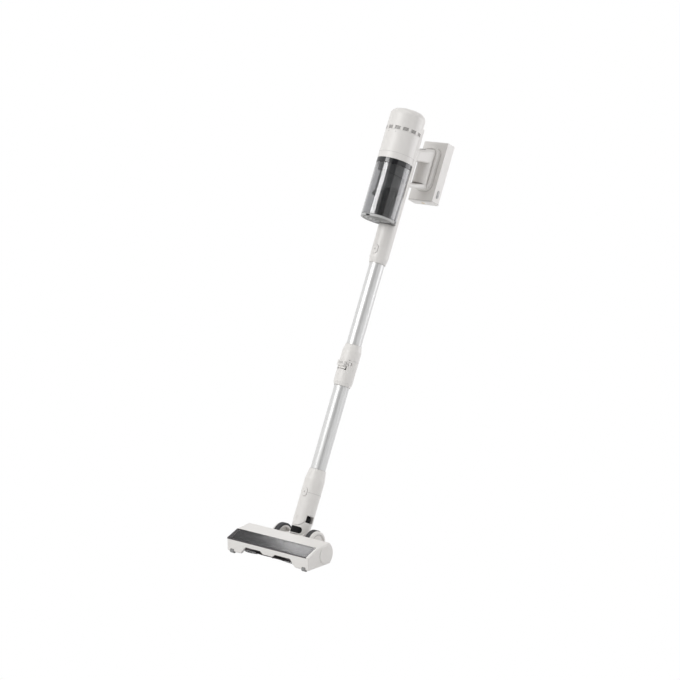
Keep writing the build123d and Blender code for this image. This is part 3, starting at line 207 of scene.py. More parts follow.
def moulded(name, base, rough=0.36, grain=2600.0, depth=0.00003, coat=0.0, dirt=None, gloss=0.45):
    """Injection-moulded plastic: a faint flow mottle, a fine spark texture and softened edges."""
    s = Shader(name)
    flow = s.noise(scale=9.0, detail=4.0, rough=0.55)
    s.colour(flow, [(0.25, shade(base, 0.98)), (0.55, base), (0.8, dirt or shade(base, 1.02))])
    s.roughness(s.noise(scale=38.0, rough=0.6), rough - 0.05, rough + 0.06)
    s.bump(s.noise(scale=grain, detail=2.0, rough=0.6), depth, strength=0.6, edge=0.0006)
    s.set(Coat_Weight=coat, Coat_Roughness=0.12, Specular_IOR_Level=gloss)
    return s.material


def satin_steel(name, base, rough=0.3):
    """Drawn tube: hair lines along its length, with a slow change in tone round and along it."""
    s = Shader(name)
    along_wand = s.mapped(turned=(-math.atan2(B_AXIS.z, B_AXIS.y), 0, 0))
    hair = s.noise(scale=2400.0, rough=0.65, vector=s.mapped(scale=(1, 1, 0.004), vector=along_wand))
    tone = s.noise(scale=14.0, detail=2.0)
    mixed = s.math("ADD", s.math("MULTIPLY", hair, 0.7), s.math("MULTIPLY", tone, 0.3))
    s.colour(mixed, [(0.3, shade(base, 0.93)), (0.5, base), (0.72, shade(base, 1.05))])
    s.roughness(hair, rough - 0.06, rough + 0.08)
    s.bump(hair, 0.00002, strength=0.35, edge=0.0003)
    s.set(Metallic=0.35)
    return s.material


def smoked(name, tint, rough, ior):
    """Tinted clear plastic with faint handling marks."""
    s = Shader(name)
    s.roughness(s.noise(scale=60.0, detail=5.0, rough=0.65), rough, rough + 0.07, 0.45, 0.75)
    s.colour(s.noise(scale=12.0, detail=2.0), [(0.3, shade(tint, 0.92)), (0.7, shade(tint, 1.04))])
    s.bump(s.noise(scale=700.0, detail=2.0), 0.000002, strength=0.1, edge=0.0006)
    s.set(Transmission_Weight=1.0, IOR=ior)
    return s.material


def rubber(name, base, rough=0.72):
    """Matt rubber with dust in its pores."""
    s = Shader(name)
    grime = s.noise(scale=55.0, detail=5.0, rough=0.65)
    s.colour(grime, [(0.3, base), (0.62, shade(base, 1.35)), (0.85, shade(base, 1.9))])
    s.roughness(grime, rough - 0.08, rough + 0.12)
    s.bump(s.noise(scale=1400.0, rough=0.7), 0.00006, strength=0.6, edge=0.0005)
    return s.material


def turned_metal(name, base, rough=0.24):
    """Bare metal with lathe lines round X."""
    s = Shader(name)
    lathe = s.noise(scale=900.0, detail=2.0, rough=0.6, vector=s.mapped(scale=(1.0, 0.03, 0.03)))
    s.colour(lathe, [(0.3, shade(base, 0.85)), (0.7, base)])
    s.roughness(lathe, rough - 0.06, rough + 0.1)
    s.bump(lathe, 0.00002, strength=0.4, edge=0.0003)
    s.set(Metallic=1.0)
    return s.material


def perforated(name, base, pitch=2.0, hole=0.3):
    """Dark sleeve with rows of small holes, laid out on the piece's own unrolled surface in millimetres.

    Pitch is in millimetres, and hole is a hole's radius as a share of it.
    """
    s = Shader(name)
    unrolled = s.add("ShaderNodeSeparateXYZ")
    s.link(s.add("ShaderNodeUVMap").outputs["UV"], unrolled.inputs[0])
    row = s.math("MULTIPLY", unrolled.outputs["Y"], 1 / pitch)
    stagger = s.math("MULTIPLY", s.math("MODULO", s.math("FLOOR", row), 2.0), 0.5)
    across = s.math("ADD", s.math("MULTIPLY", unrolled.outputs["X"], 1 / pitch), stagger)
    dx = s.math("SUBTRACT", s.math("FRACT", across), 0.5)
    dy = s.math("SUBTRACT", s.math("FRACT", row), 0.5)
    reach = s.math("SQRT", s.math("ADD", s.math("MULTIPLY", dx, dx), s.math("MULTIPLY", dy, dy)))
    solid = s.span(reach, 0.0, 1.0, hole - 0.04, hole + 0.04)
    s.colour(solid, [(0.2, shade(base, 0.15)), (0.8, base)])
    s.roughness(s.noise(scale=60.0), 0.3, 0.45)
    s.bump(solid, 0.0002, strength=0.8)
    return s.material


M_SHELL = moulded("warm_white_shell", (0.81, 0.79, 0.765), 0.34)
M_LIGHT = moulded("light_grey_plastic", (0.52, 0.52, 0.515), 0.42)
M_ROLLER = moulded("roller_grey", (0.26, 0.26, 0.26), 0.4)
M_BLACK = moulded("black_plastic", (0.007, 0.007, 0.008), 0.6, dirt=(0.012, 0.012, 0.013), gloss=0.12)
M_DARK = moulded("charcoal_plastic", (0.024, 0.024, 0.027), 0.36, gloss=0.3)
M_COLLAR = moulded("gloss_collar", (0.02, 0.02, 0.022), 0.1, depth=0.000004, gloss=0.55)
M_SEAM = moulded("seam_shadow", (0.20, 0.195, 0.185), 0.8)
# mid grey for creases, parting lines, seals, ribs and marks; it is also painted shade in the dock plate's
# groove and painted shadow where the plate meets the pack
M_CREASE_AND_SHADE = moulded("crease_and_shade_grey", (0.52, 0.505, 0.485), 0.6)
M_GAP = moulded("dark_gap", (0.03, 0.03, 0.03), 0.8, gloss=0.1)
M_STEEL = satin_steel("satin_tube", (0.70, 0.70, 0.695))
M_WINDOW = smoked("smoked_window", (0.12, 0.11, 0.125), 0.14, ior=1.35)
M_CUP = smoked("smoked_cup", (0.56, 0.56, 0.57), 0.02, ior=1.6)
M_MESH = perforated("perforated_sleeve", (0.06, 0.06, 0.065))
M_TYRE = rubber("tyre_rubber", (0.045, 0.045, 0.048))
M_RUBBER = rubber("black_rubber", (0.022, 0.022, 0.023), 0.66)
M_PIN = turned_metal("turned_steel", (0.62, 0.61, 0.6))
M_ALLOY = turned_metal("alloy", (0.75, 0.75, 0.76), 0.3)
M_BRASS = turned_metal("plated_contact", (0.78, 0.6, 0.3), 0.28)
M_MOTOR = moulded("motor_paint", (0.10, 0.10, 0.11), 0.35, coat=0.2)
M_BOARD = moulded("circuit_board", (0.02, 0.12, 0.05), 0.3)
M_CELL = moulded("cell_sleeve", (0.05, 0.16, 0.3), 0.25)
M_BRISTLE = moulded("bristle", (0.035, 0.03, 0.028), 0.7, grain=900.0, depth=0.0002)
M_FELT = moulded("filter_felt", (0.72, 0.72, 0.69), 0.9, grain=1200.0, depth=0.0003)
M_PILE = moulded("brush_pile", (0.10, 0.085, 0.09), 0.95, grain=900.0, depth=0.0003)

BY_SLOT = {
    "shell": M_SHELL, "steel": M_STEEL, "smoke": M_WINDOW, "cup": M_CUP, "black": M_BLACK,
    "grey": M_LIGHT, "tyre": M_TYRE, "rubber": M_RUBBER, "bristle": M_BRISTLE, "pin": M_PIN,
    "motor": M_MOTOR, "alloy": M_ALLOY, "filter": M_FELT, "mesh": M_DARK, "board": M_BOARD,
    "cell": M_CELL, "brass": M_BRASS,
}
for part in frame["record"]["subparts"]:
    slots = NODES[part["node"]].data.materials
    slots.clear()
    slots.append(BY_SLOT[part["material_slot"]])
NODES["cup_collar"].data.materials[0] = M_COLLAR
for word in ("left", "right"):
    NODES[f"front_roller_{word}"].data.materials[0] = M_ROLLER


# ---- building pieces, in millimetres -----------------------------------------------------------
SHARP_ANGLE = 32.0                           # degrees; edges sharper than this stay hard
CAP_UNDER = 3.0                              # a turned shape's end narrower than this is closed
SEAM_JUMP = 19.0                             # a face wider than this on the unrolled surface crosses its seam


class Form:
    """Shapes gathered into one mesh piece."""

    def __init__(self):
        self.verts = []
        self.faces = []
        self.flat = {}

    def add(self, verts, faces, place=Matrix()):
        start = len(self.verts)
        self.verts += [place @ Vector(v) for v in verts]
        self.faces += [[start + i for i in face] for face in faces]

    def turned(self, profile, place=Matrix(), steps=64, closed=False, lift=None, wave=None):
        """Turns (radius, height, share of the lift) points about local Z.

        lift raises points and wave scales their radii, both by the angle.
        """
        verts, faces = [], []
        angles = [math.radians(360 * k / steps) for k in range(steps)]
        start = len(self.verts)
        for i, (r, z, *share) in enumerate(profile):
            for a in angles:
                radius = r * (wave(a, i) if wave else 1.0)
                rise = lift(a) * share[0] if share else 0.0
                self.flat[start + len(verts)] = (a * r, z)
                verts.append((radius * math.cos(a), radius * math.sin(a), z + rise))
        for i in range(len(profile) if closed else len(profile) - 1):
            n = (i + 1) % len(profile)
            for k in range(steps):
                m = (k + 1) % steps
                faces.append((i * steps + k, i * steps + m, n * steps + m, n * steps + k))
        if not closed:
            for i in (0, len(profile) - 1):
                if profile[i][0] < CAP_UNDER:
                    faces.append([i * steps + k for k in range(steps)])
        self.add(verts, faces, place)

    def bar(self, low, high, place=Matrix(), chamfer=0.0):
        """Block with its four edges along local Z cut back."""
        (x0, y0, z0), (x1, y1, z1) = low, high
        c = chamfer
        if c:
            outline = [(x0 + c, y0), (x1 - c, y0), (x1, y0 + c), (x1, y1 - c),
                       (x1 - c, y1), (x0 + c, y1), (x0, y1 - c), (x0, y0 + c)]
        else:
            outline = [(x0, y0), (x1, y0), (x1, y1), (x0, y1)]
        self.between([(x, y, z0) for x, y in outline], [(x, y, z1) for x, y in outline], place)

    def between(self, first, last, place=Matrix()):
        """Solid between two outlines that have as many points each."""
        n = len(first)
        faces = [list(range(n))[::-1], list(range(n, 2 * n))]
        faces += [(k, (k + 1) % n, n + (k + 1) % n, n + k) for k in range(n)]
        self.add(first + last, faces, place)

    def bead(self, path, radius, place=Matrix(), closed=True, sides=8):
        """Round bead along a path."""
        path = [Vector(p) for p in path]
        n = len(path)
        verts, faces = [], []
        for k, p in enumerate(path):
            before = path[k - 1] if closed or k else p
            after = path[(k + 1) % n] if closed or k < n - 1 else p
            along = (after - before).normalized()
            if k == 0:
                side = along.orthogonal().normalized()
            else:
                side = (side - along * side.dot(along)).normalized()
            up = along.cross(side)
            for j in range(sides):
                a = 2 * math.pi * j / sides
                verts.append(p + radius * (math.cos(a) * side + math.sin(a) * up))
        for k in range(n if closed else n - 1):
            m = (k + 1) % n
            faces += [(k * sides + j, k * sides + (j + 1) % sides, m * sides + (j + 1) % sides, m * sides + j)
                      for j in range(sides)]
        if not closed:
            faces += [tuple(reversed(range(sides))), tuple(range((n - 1) * sides, n * sides))]
        self.add(verts, faces, place)

    def hoop(self, radius, thick, place=Matrix(), steps=72):
        angles = [2 * math.pi * k / steps for k in range(steps)]
        self.bead([(radius * math.cos(a), radius * math.sin(a), 0) for a in angles], thick, place)

    def screw(self, place, radius):
        """Cross-head screw seen from local +Z, its head level with the surface."""
        arm, half, depth = radius * 0.62, radius * 0.16, radius * 0.45
        rim_drop, crown = 0.2, 0.15
        cross = [(arm, -half), (arm, half), (half, half), (half, arm), (-half, arm), (-half, half),
                 (-arm, half), (-arm, -half), (-half, -half), (-half, -arm), (half, -arm), (half, -half)]
        angles = [math.atan2(y, x) for x, y in cross]
        verts = [(radius * math.cos(a), radius * math.sin(a), -rim_drop) for a in angles]
        verts += [(x, y, crown) for x, y in cross]
        verts += [(x, y, -depth) for x, y in cross]
        n = len(cross)
        faces = [(k, (k + 1) % n, n + (k + 1) % n, n + k) for k in range(n)]
        faces += [(n + k, n + (k + 1) % n, 2 * n + (k + 1) % n, 2 * n + k) for k in range(n)]
        faces.append(list(range(2 * n, 3 * n)))
        self.add(verts, faces, place)
        self.hoop(radius + 0.35, 0.3, place, 32)

    def stud(self, place, radius, sink, rise, bevel=(), steps=24):
        """Low round stud on local +Z that starts under the surface.

        bevel is how far its edge goes in and down.
        """
        if bevel:
            inward, down = bevel
            edge = [(radius, rise - down), (radius - inward, rise)]
        else:
            edge = [(radius, rise)]
        self.turned([(radius, -sink), *edge, (0.0, rise)], place, steps)

    def unroll(self, shape):
        """Gives each face its place on the unrolled surface of its turned shape as UVs."""
        layer = shape.loops.layers.uv.new("unrolled")
        for face in shape.faces:
            spots = [self.flat.get(loop.vert.index, (0.0, 0.0)) for loop in face.loops]
            widest = max(u for u, v in spots)
            for loop, (u, v) in zip(face.loops, spots):
                at_seam = u < 1e-6 and widest - u > SEAM_JUMP
                loop[layer].uv = (widest if at_seam else u, v)

    def put(self, name, material, body, frame_mm=WAND_MM):
        mesh = bpy.data.meshes.new(name)
        mesh.from_pydata([frame_mm @ v for v in self.verts], [], self.faces)
        shape = bmesh.new()
        shape.from_mesh(mesh)
        bmesh.ops.recalc_face_normals(shape, faces=shape.faces)
        if self.flat:
            self.unroll(shape)
        shape.to_mesh(mesh)
        shape.free()
        mesh.shade_smooth()
        mesh.set_sharp_from_angle(angle=math.radians(SHARP_ANGLE))
        mesh.materials.append(material)
        piece = bpy.data.objects.new(name, mesh)
        bpy.context.scene.collection.objects.link(piece)
        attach(piece, body)
        return piece


def put_hoop(name, material, body, radius, thick, place, frame_mm=WAND_MM, steps=72):
    """A piece that is one ring of round bead."""
    form = Form()
    form.hoop(radius, thick, place, steps)
    form.put(name, material, body, frame_mm)


def rounded_path(width, height, corner):
    """Rounded rectangle as (x, height) points, centred."""
    steps = 8
    path = []
    for cx, cz, start in ((1, 1, 0), (-1, 1, 90), (-1, -1, 180), (1, -1, 270)):
        for k in range(steps + 1):
            a = math.radians(start + 90 * k / steps)
            path.append((cx * (width / 2 - corner) + corner * math.cos(a),
                         cz * (height / 2 - corner) + corner * math.sin(a)))
    return path


SIDES = ((-1, "left"), (1, "right"))


def outer_x(side, low, high):
    """X of the face that a piece turns to the given side."""
    return high.x if side > 0 else low.x


# ---- floor head --------------------------------------------------------------------------------
base_low = node_span("head_base", HEAD_MM)[0]
window_low, window_high = node_span("head_window", HEAD_MM)
cover_low, cover_high = node_span("head_cover", HEAD_MM)
sleeve_low, sleeve_high = node_span("brush_bristles", HEAD_MM)
core_low, core_high = node_span("brush_roll", HEAD_MM)

BRUSH_R = (sleeve_high.z - sleeve_low.z) / 2
BRUSH_X = (sleeve_high.x + sleeve_low.x) / 2
BRUSH_Y = (sleeve_high.y + sleeve_low.y) / 2
BRUSH_Z = (sleeve_high.z + sleeve_low.z) / 2
CORE_R = (core_high.z - core_low.z) / 2
HELIX_TURN = 110.0                           # degrees from the middle of the brush to its end
TUFT_ROWS = 4
TUFT_PITCH = 2.4
TUFT_HAIRS = 9
TUFT_MARGIN = 1.5                            # from the last tufts to the ends of the sleeve
HAIR_R = 0.17
ROOT_SINK = 0.5
ROOT_STRAY = 0.9                             # along the brush
ROOT_FAN = 4                                 # round it, in degrees
TIP_LEAN = 0.07                              # in radians
TIP_STRAY = 0.5
TIP_UNDER = (0.1, 0.9)                       # least and most that a tip stays under the sleeve's surface
PILE_STEPS = 90
PILE_MARGIN = 1
PILE_SECTION = ((30, -0.3), (33, 2.6), (40, 3.4), (50, 3.4), (57, 2.6), (60, -0.3))    # degrees, height


def helix_angle(x):
    """Chevron: the rows sweep the same way from both ends towards the middle."""
    half = (sleeve_high.x - sleeve_low.x) / 2
    return HELIX_TURN * abs(x - BRUSH_X) / half


def on_brush(x, radius, angle):
    return x, BRUSH_Y + radius * math.cos(angle), BRUSH_Z + radius * math.sin(angle)


def add_tuft(form, x, start):
    """One tuft at x of the row that starts at the given angle."""
    for hair in range(TUFT_HAIRS):
        root_x = x + random.uniform(-ROOT_STRAY, ROOT_STRAY)
        a = math.radians(start + helix_angle(root_x) + random.uniform(-ROOT_FAN, ROOT_FAN))
        tip_a = a + random.uniform(-TIP_LEAN, TIP_LEAN)
        tip_r = BRUSH_R - random.uniform(*TIP_UNDER)
        tip_x = root_x + random.uniform(-TIP_STRAY, TIP_STRAY)
        form.bead([on_brush(root_x, CORE_R - ROOT_SINK, a), on_brush(tip_x, tip_r, tip_a)], HAIR_R,
                  closed=False, sides=3)


def add_pile(form, start):
    """A strip of short pile between two rows of tufts."""
    length = sleeve_high.x - sleeve_low.x - 2 * PILE_MARGIN
    n = len(PILE_SECTION)
    verts, faces = [], []
    for k in range(PILE_STEPS + 1):
        x = sleeve_low.x + PILE_MARGIN + length * k / PILE_STEPS
        for degrees, rise in PILE_SECTION:
            verts.append(on_brush(x, CORE_R + rise, math.radians(start + helix_angle(x) + degrees)))
    for k in range(PILE_STEPS):
        faces += [(k * n + j, k * n + j + 1, (k + 1) * n + j + 1, (k + 1) * n + j) for j in range(n - 1)]
    faces += [list(range(n)), list(range(PILE_STEPS * n, PILE_STEPS * n + n))]
    form.add(verts, faces)


random.seed(7)
tufts = Form()
pile = Form()
for row in range(TUFT_ROWS):
    row_start = 360 / TUFT_ROWS * row
    x = sleeve_low.x + TUFT_MARGIN
    while x < sleeve_high.x - TUFT_MARGIN:
        add_tuft(tufts, x, row_start)
        x += TUFT_PITCH
    add_pile(pile, row_start)
tuft_piece = tufts.put("brush_tufts", M_BRISTLE, "brush", HEAD_MM)
pile.put("brush_pile", M_PILE, "brush", HEAD_MM)
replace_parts(tuft_piece, "brush_bristles")

TREADS = 30
GROOVE = 0.022                               # depth, as a share of the radius
GROOVE_W = 0.16                              # width, as a share of the pitch
TYRE_T = 5.0
SHOULDER = 1.4
HUB_LINE_R = 20.2


def tread(angle, row):
    """Blocks across the tread, staggered from one shoulder to the other."""
    if row not in (2, 3, 5, 6):
        return 1.0
    stagger = 0.5 if row > 4 else 0.0
    phase = (angle * TREADS / (2 * math.pi) + stagger) % 1.0
    return 1.0 - (GROOVE if phase < GROOVE_W else 0.0)


for side, word in SIDES:
    low, high = node_span(f"wheel_tyre_{word}", HEAD_MM)
    middle = (low + high) / 2
    radius = (high.z - low.z) / 2
    width = high.x - low.x
    profile = [(radius - TYRE_T, 0), (radius - SHOULDER, 0), (radius, 1.5), (radius, width * 0.44),
               (radius * 0.975, width * 0.5), (radius, width * 0.56), (radius, width - 1.5),
               (radius - SHOULDER, width), (radius - TYRE_T, width)]
    tyre = Form()
    tyre.turned(profile, at(low.x, middle.y, middle.z) @ turn(90, "Y"), TREADS * 12, closed=True, wave=tread)
    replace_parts(tyre.put(f"tyre_{word}", M_TYRE, f"wheel_{word}", HEAD_MM), f"wheel_tyre_{word}")
    hub_x = outer_x(side, *node_span(f"wheel_hub_{word}", HEAD_MM)) - side * 0.1
    put_hoop(f"hub_line_{word}", M_SEAM, f"wheel_{word}", radius=HUB_LINE_R, thick=0.35,
             place=at(hub_x, middle.y, middle.z) @ turn(90, "Y"), frame_mm=HEAD_MM)

WINDOW_EDGE = 2.4                            # height of the window's front edge
BEZEL_INSET = 2.6
window_slope = (window_high.z - window_low.z - WINDOW_EDGE) / (window_high.y - window_low.y)


def window_top(y):
    """Height of the sloping top at a depth from the front."""
    return window_low.z + WINDOW_EDGE + (y - window_low.y) * window_slope


bezel = Form()
left, right = window_low.x + BEZEL_INSET, window_high.x - BEZEL_INSET
front, rear = window_low.y + BEZEL_INSET, window_high.y - BEZEL_INSET
bezel_corners = ((left, front), (right, front), (right, rear), (left, rear))
bezel.bead([(x, y, window_top(y) - 0.15) for x, y in bezel_corners], 0.35, sides=6)
bezel.put("window_bezel", M_GAP, "floor_head", HEAD_MM)

UNDER_SCREWS = (-96, -34, 34, 96)            # across the head's underside
UNDER_SCREW_Y = 62
under = Form()
for x in UNDER_SCREWS:
    under.screw(at(x, UNDER_SCREW_Y, base_low.z) @ turn(180, "X"), radius=2.6)
under.put("head_screws", M_PIN, "floor_head", HEAD_MM)

STRIP_HALF, STRIP_Y, STRIP_T, STRIP_FOOT = 84, 41.6, 1.8, 1.2
strip = Form()
strip.bar((-STRIP_HALF, STRIP_Y, STRIP_FOOT), (STRIP_HALF, STRIP_Y + STRIP_T, base_low.z + 0.4))
strip.put("lint_strip", M_RUBBER, "floor_head", HEAD_MM)

seam = Form()
seam_z = window_high.z + 0.02
seam.bead([(cover_low.x, cover_low.y, seam_z), (cover_high.x, cover_low.y, seam_z)], 0.3, closed=False)
seam.put("window_seam", M_GAP, "floor_head", HEAD_MM)

# a round line and a coin slot on the end cap's face
CAP_AXIS_Y, CAP_AXIS_Z = 59.0, 27.0
CAP_LINE_R = 14.0
cap_x = node_span("brush_cap", HEAD_MM)[1].x - 0.3
on_cap = at(cap_x, CAP_AXIS_Y, CAP_AXIS_Z) @ turn(90, "Y")
put_hoop("knob_line", M_CREASE_AND_SHADE, "brush_access", radius=CAP_LINE_R, thick=0.3, place=on_cap, frame_mm=HEAD_MM)
coin = Form()
coin.bar((-1.1, -CAP_LINE_R / 2, -0.2), (1.1, CAP_LINE_R / 2, 0.28), on_cap, 0.6)
coin.put("knob_slot", M_CREASE_AND_SHADE, "brush_access", HEAD_MM)

# ---- neck --------------------------------------------------------------------------------------
sleeve_lo, sleeve_hi = node_span("neck_sleeve", WAND_MM)
SLEEVE_R = (sleeve_hi.x - sleeve_lo.x) / 2


def middle_of(node):
    low, high = node_span(node, WAND_MM)
    return (low + high) / 2


def put_dot(name, button, body):
    """Raised dot in the middle of a release button."""
    low, high = node_span(button, WAND_MM)
    dot = Form()
    place = at(0, low.y + 0.3, (low.z + high.z) / 2) @ turn(90, "X")
    dot.stud(place, radius=2.0, sink=0, rise=0.5, bevel=(0.4, 0.15))
    dot.put(name, M_CREASE_AND_SHADE, body)


# the parting line goes round the sleeve from one side of the button to the other
button_hi = node_span("neck_button", WAND_MM)[1]
button_s = middle_of("neck_button").z
line_r = SLEEVE_R - 0.05
clear = int(math.degrees(math.asin((button_hi.x + 1.0) / SLEEVE_R)))
angles = [math.radians(a) for a in range(clear + 1, 359 - clear, 4)]
line = Form()
line.bead([(line_r * math.sin(a), -line_r * math.cos(a), button_s) for a in angles], 0.35, closed=False)
line.put("sleeve_line", M_CREASE_AND_SHADE, "neck")

SLEEVE_SCREWS = (60.0, 122.0)                # up the wand, on the sleeve's back
screws = Form()
for s in SLEEVE_SCREWS:
    screws.screw(at(0, SLEEVE_R - 0.1, s) @ turn(-90, "X"), radius=2.6)
screws.put("sleeve_screws", M_PIN, "neck")

SWIVEL_S = 46.0
PIN_HOLE_R = 3.4
plugs = Form()
for hand in (-1, 1):
    place = at(0, hand * (SLEEVE_R - 0.5), SWIVEL_S) @ turn(-90 * hand, "X")
    plugs.stud(place, radius=PIN_HOLE_R, sink=1.0, rise=0.15, bevel=(0.4, 0.25), steps=32)
plugs.put("swivel_plugs", M_SHELL, "neck")

# shell-coloured corners that round off the black insert in the front of the yoke
insert_lo, insert_hi = node_span("yoke_insert", WAND_MM)
insert_r = -insert_lo.y
CORNER_R = 5.5
CORNER_STEPS = 10
CORNER_DEPTHS = (insert_r - 0.3, insert_r + 0.45)
corners = Form()
for hand in (-1, 1):
    for upward, tip_s in ((-1, insert_lo.z), (1, insert_hi.z)):
        tip_x = hand * insert_hi.x
        outline = [(tip_x, tip_s)]
        for k in range(CORNER_STEPS + 1):
            a = math.radians(90 * k / CORNER_STEPS)
            outline.append((tip_x - hand * CORNER_R * (1 - math.cos(a)),
                            tip_s - upward * CORNER_R * (1 - math.sin(a))))
        inner, outer = ([(x, -math.sqrt(r * r - x * x), s) for x, s in outline] for r in CORNER_DEPTHS)
        n = len(outline)
        faces = [(0, k, k + 1) for k in range(1, n - 1)] + [(n, n + k + 1, n + k) for k in range(1, n - 1)]
        faces += [(k, (k + 1) % n, n + (k + 1) % n, n + k) for k in range(n)]
        corners.add(inner + outer, faces)
corners.put("insert_corners", M_SHELL, "yoke")
put_dot("neck_button_dot", "neck_button", "neck_lock")

# ---- tubes: a lip seal where each tube enters its fitting --------------------------------------
tube_lo, tube_hi = node_span("lower_tube", WAND_MM)
TUBE_R = (tube_hi.x - tube_lo.x) / 2
SEAL_R = 0.45
knuckle_end = node_span("fold_knuckle", WAND_MM)[0].z
fork_end = node_span("fold_fork", WAND_MM)[1].z
unit_end = node_span("chassis_right", WAND_MM)[0].z
SEALS = (
    ("seal_neck", sleeve_hi.z + 0.3, "neck"),
    ("seal_knuckle", knuckle_end - 0.3, "lower_wand"),
    ("seal_fork", fork_end + 0.3, "upper_wand"),
    ("seal_unit", unit_end - 0.3, "main_unit"),
)
for name, s, body in SEALS:
    put_hoop(name, M_CREASE_AND_SHADE, body, radius=TUBE_R + SEAL_R, thick=SEAL_R, place=at(0, 0, s))

# ---- fold joint --------------------------------------------------------------------------------
RIB_HALF_W, RIB_HALF_H, RIB_PITCH, RIB_RISE = 6.5, 0.35, 2.2, 0.6
tab_lo, tab_hi = node_span("fold_tab", WAND_MM)
ribs = Form()
for k in range(3):
    s = tab_hi.z - 3.0 - RIB_PITCH * k
    ribs.bar((-RIB_HALF_W, tab_lo.y, s - RIB_HALF_H), (RIB_HALF_W, tab_lo.y + RIB_RISE, s + RIB_HALF_H))
ribs.put("tab_ribs", M_CREASE_AND_SHADE, "fold_lock")
pin_lo, pin_hi = node_span("fold_pin", WAND_MM)
pin = middle_of("fold_pin")
rings = Form()
for side in (-1, 1):
    rings.hoop(radius=2.2, thick=0.25, place=at(outer_x(side, pin_lo, pin_hi), pin.y, pin.z) @ turn(90, "Y"),
               steps=32)
rings.put("pin_rings", M_CREASE_AND_SHADE, "lower_wand")

# ---- dust cup ----------------------------------------------------------------------------------
housing_lo, housing_hi = node_span("motor_housing", WAND_MM)
CUP_B = (housing_lo.y + housing_hi.y) / 2
CUP_R = (housing_hi.x - housing_lo.x) / 2
CUP = at(0, CUP_B, 0)
collar_s = node_span("cup_collar", WAND_MM)[0].z
lid_low, lid_high = node_span("cup_lid", WAND_MM)
lid_top = lid_high.z
FRONT = math.radians(-90)                    # where a turned shape's angle points out of the cup's front
ROUND = 96                                   # steps round the cup's own turned shapes


def slant(rise, peak):
    """Height round a turned shape that is cut on the slant, highest at peak degrees right of the front."""
    return lambda a: rise * math.cos(a - FRONT - math.radians(peak))


CYCLONE_R, CYCLONE_WALL, CYCLONE_FOOT = 33.5, 2.0, 853.0
SPOKES, SPOKE_IN, SPOKE_OUT, SPOKE_FOOT = 10, 26.5, 32.0, 858.0
cyclone = Form()
cyclone_in = CYCLONE_R - CYCLONE_WALL
cyclone.turned([(CYCLONE_R, collar_s - 0.4), (CYCLONE_R, CYCLONE_FOOT, 1),
                (cyclone_in, CYCLONE_FOOT - 1.5, 1), (cyclone_in, collar_s - 0.4)],
               CUP, ROUND, closed=True, lift=slant(6.0, -75))
for k in range(SPOKES):
    spoke = CUP @ turn(360 / SPOKES * k, "Z")
    cyclone.bar((SPOKE_IN, -0.7, SPOKE_FOOT), (SPOKE_OUT, 0.7, collar_s - 0.5), spoke)
cyclone.put("cyclone_head", M_DARK, "dust_cup")

SHROUD_R, SHROUD_WALL, SHROUD_FOOT = 27.0, 1.2, 812.0
LOWER_SLANT = slant(7.0, 110)                # the shroud's foot and the skirt below it
shroud = Form()
shroud_in = SHROUD_R - SHROUD_WALL
shroud.turned([(SHROUD_R, SHROUD_FOOT, 1), (SHROUD_R, collar_s - 0.5), (shroud_in, collar_s - 0.5),
               (shroud_in, SHROUD_FOOT, 1)], CUP, ROUND, closed=True, lift=LOWER_SLANT)
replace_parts(shroud.put("shroud_sleeve", M_MESH, "dust_cup"), "cyclone_shroud")

SKIRT_S = 814.0                              # where the skirt flares from the shroud
OUTLET_R, OUTLET_WALL = 20.0, 1.4
FINS, FIN_START, FIN_TOP = 8, 12, 796.0
outlet = Form()
outlet_in = OUTLET_R - OUTLET_WALL
outlet.turned([(25.5, SKIRT_S, 1), (27.6, SKIRT_S - 0.4, 1), (31.0, SKIRT_S - 7.5, 1),
               (30.2, SKIRT_S - 8.2, 1), (26.0, SKIRT_S - 3.5, 1), (21.0, SKIRT_S - 2.5, 1),
               (20.6, SKIRT_S - 4.0, 1), (OUTLET_R, lid_top + 2.0), (outlet_in, lid_top + 1.6),
               (outlet_in, SKIRT_S - 1.0, 1)], CUP, ROUND, closed=True, lift=LOWER_SLANT)
for k in range(FINS):
    outlet.bar((OUTLET_R, -0.6, lid_top + 4.0), (OUTLET_R + 1.4, 0.6, FIN_TOP),
               CUP @ turn(360 / FINS * k + FIN_START, "Z"))
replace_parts(outlet.put("cyclone_outlet", M_BLACK, "dust_cup"), "cyclone_cone")

LID_RING_RADII = (7.0, 14.0, 24.0, 34.0)
FLAP_END = lid_high.y - 6.0                  # the moulded rings stop here, short of the hinge
BASE_START = lid_high.y + 1.5                # and go on from here across the fixed part
flap_rings = Form()
base_rings = Form()
for radius in LID_RING_RADII:
    angles = [math.radians(a) for a in range(90, 450, 4)]
    spots = [(radius * math.cos(a), CUP_B + radius * math.sin(a), lid_low.z) for a in angles]
    on_flap = [spot for spot in spots if spot[1] < FLAP_END]
    on_base = sorted((spot for spot in spots if spot[1] > BASE_START), key=lambda spot: spot[0])
    for form, kept in ((flap_rings, on_flap), (base_rings, on_base)):
        if len(kept) > 3:
            form.bead(kept, 0.8, closed=len(kept) == len(spots))
flap_rings.put("lid_rings", M_SEAM, "cup_flap")
base_rings.put("base_rings", M_SEAM, "dust_cup")
put_hoop("lid_gasket", M_RUBBER, "dust_cup", radius=CUP_R - 0.9, thick=0.7, place=at(0, CUP_B, lid_top + 0.4))
put_hoop("cup_lip", M_GAP, "dust_cup", radius=CUP_R - 0.2, thick=0.35, place=at(0, CUP_B, collar_s),
         steps=ROUND)

# ---- motor unit --------------------------------------------------------------------------------
put_hoop("housing_line", M_CREASE_AND_SHADE, "main_unit", radius=CUP_R - 0.05, thick=0.3,
         place=at(0, CUP_B, housing_lo.z), steps=ROUND)

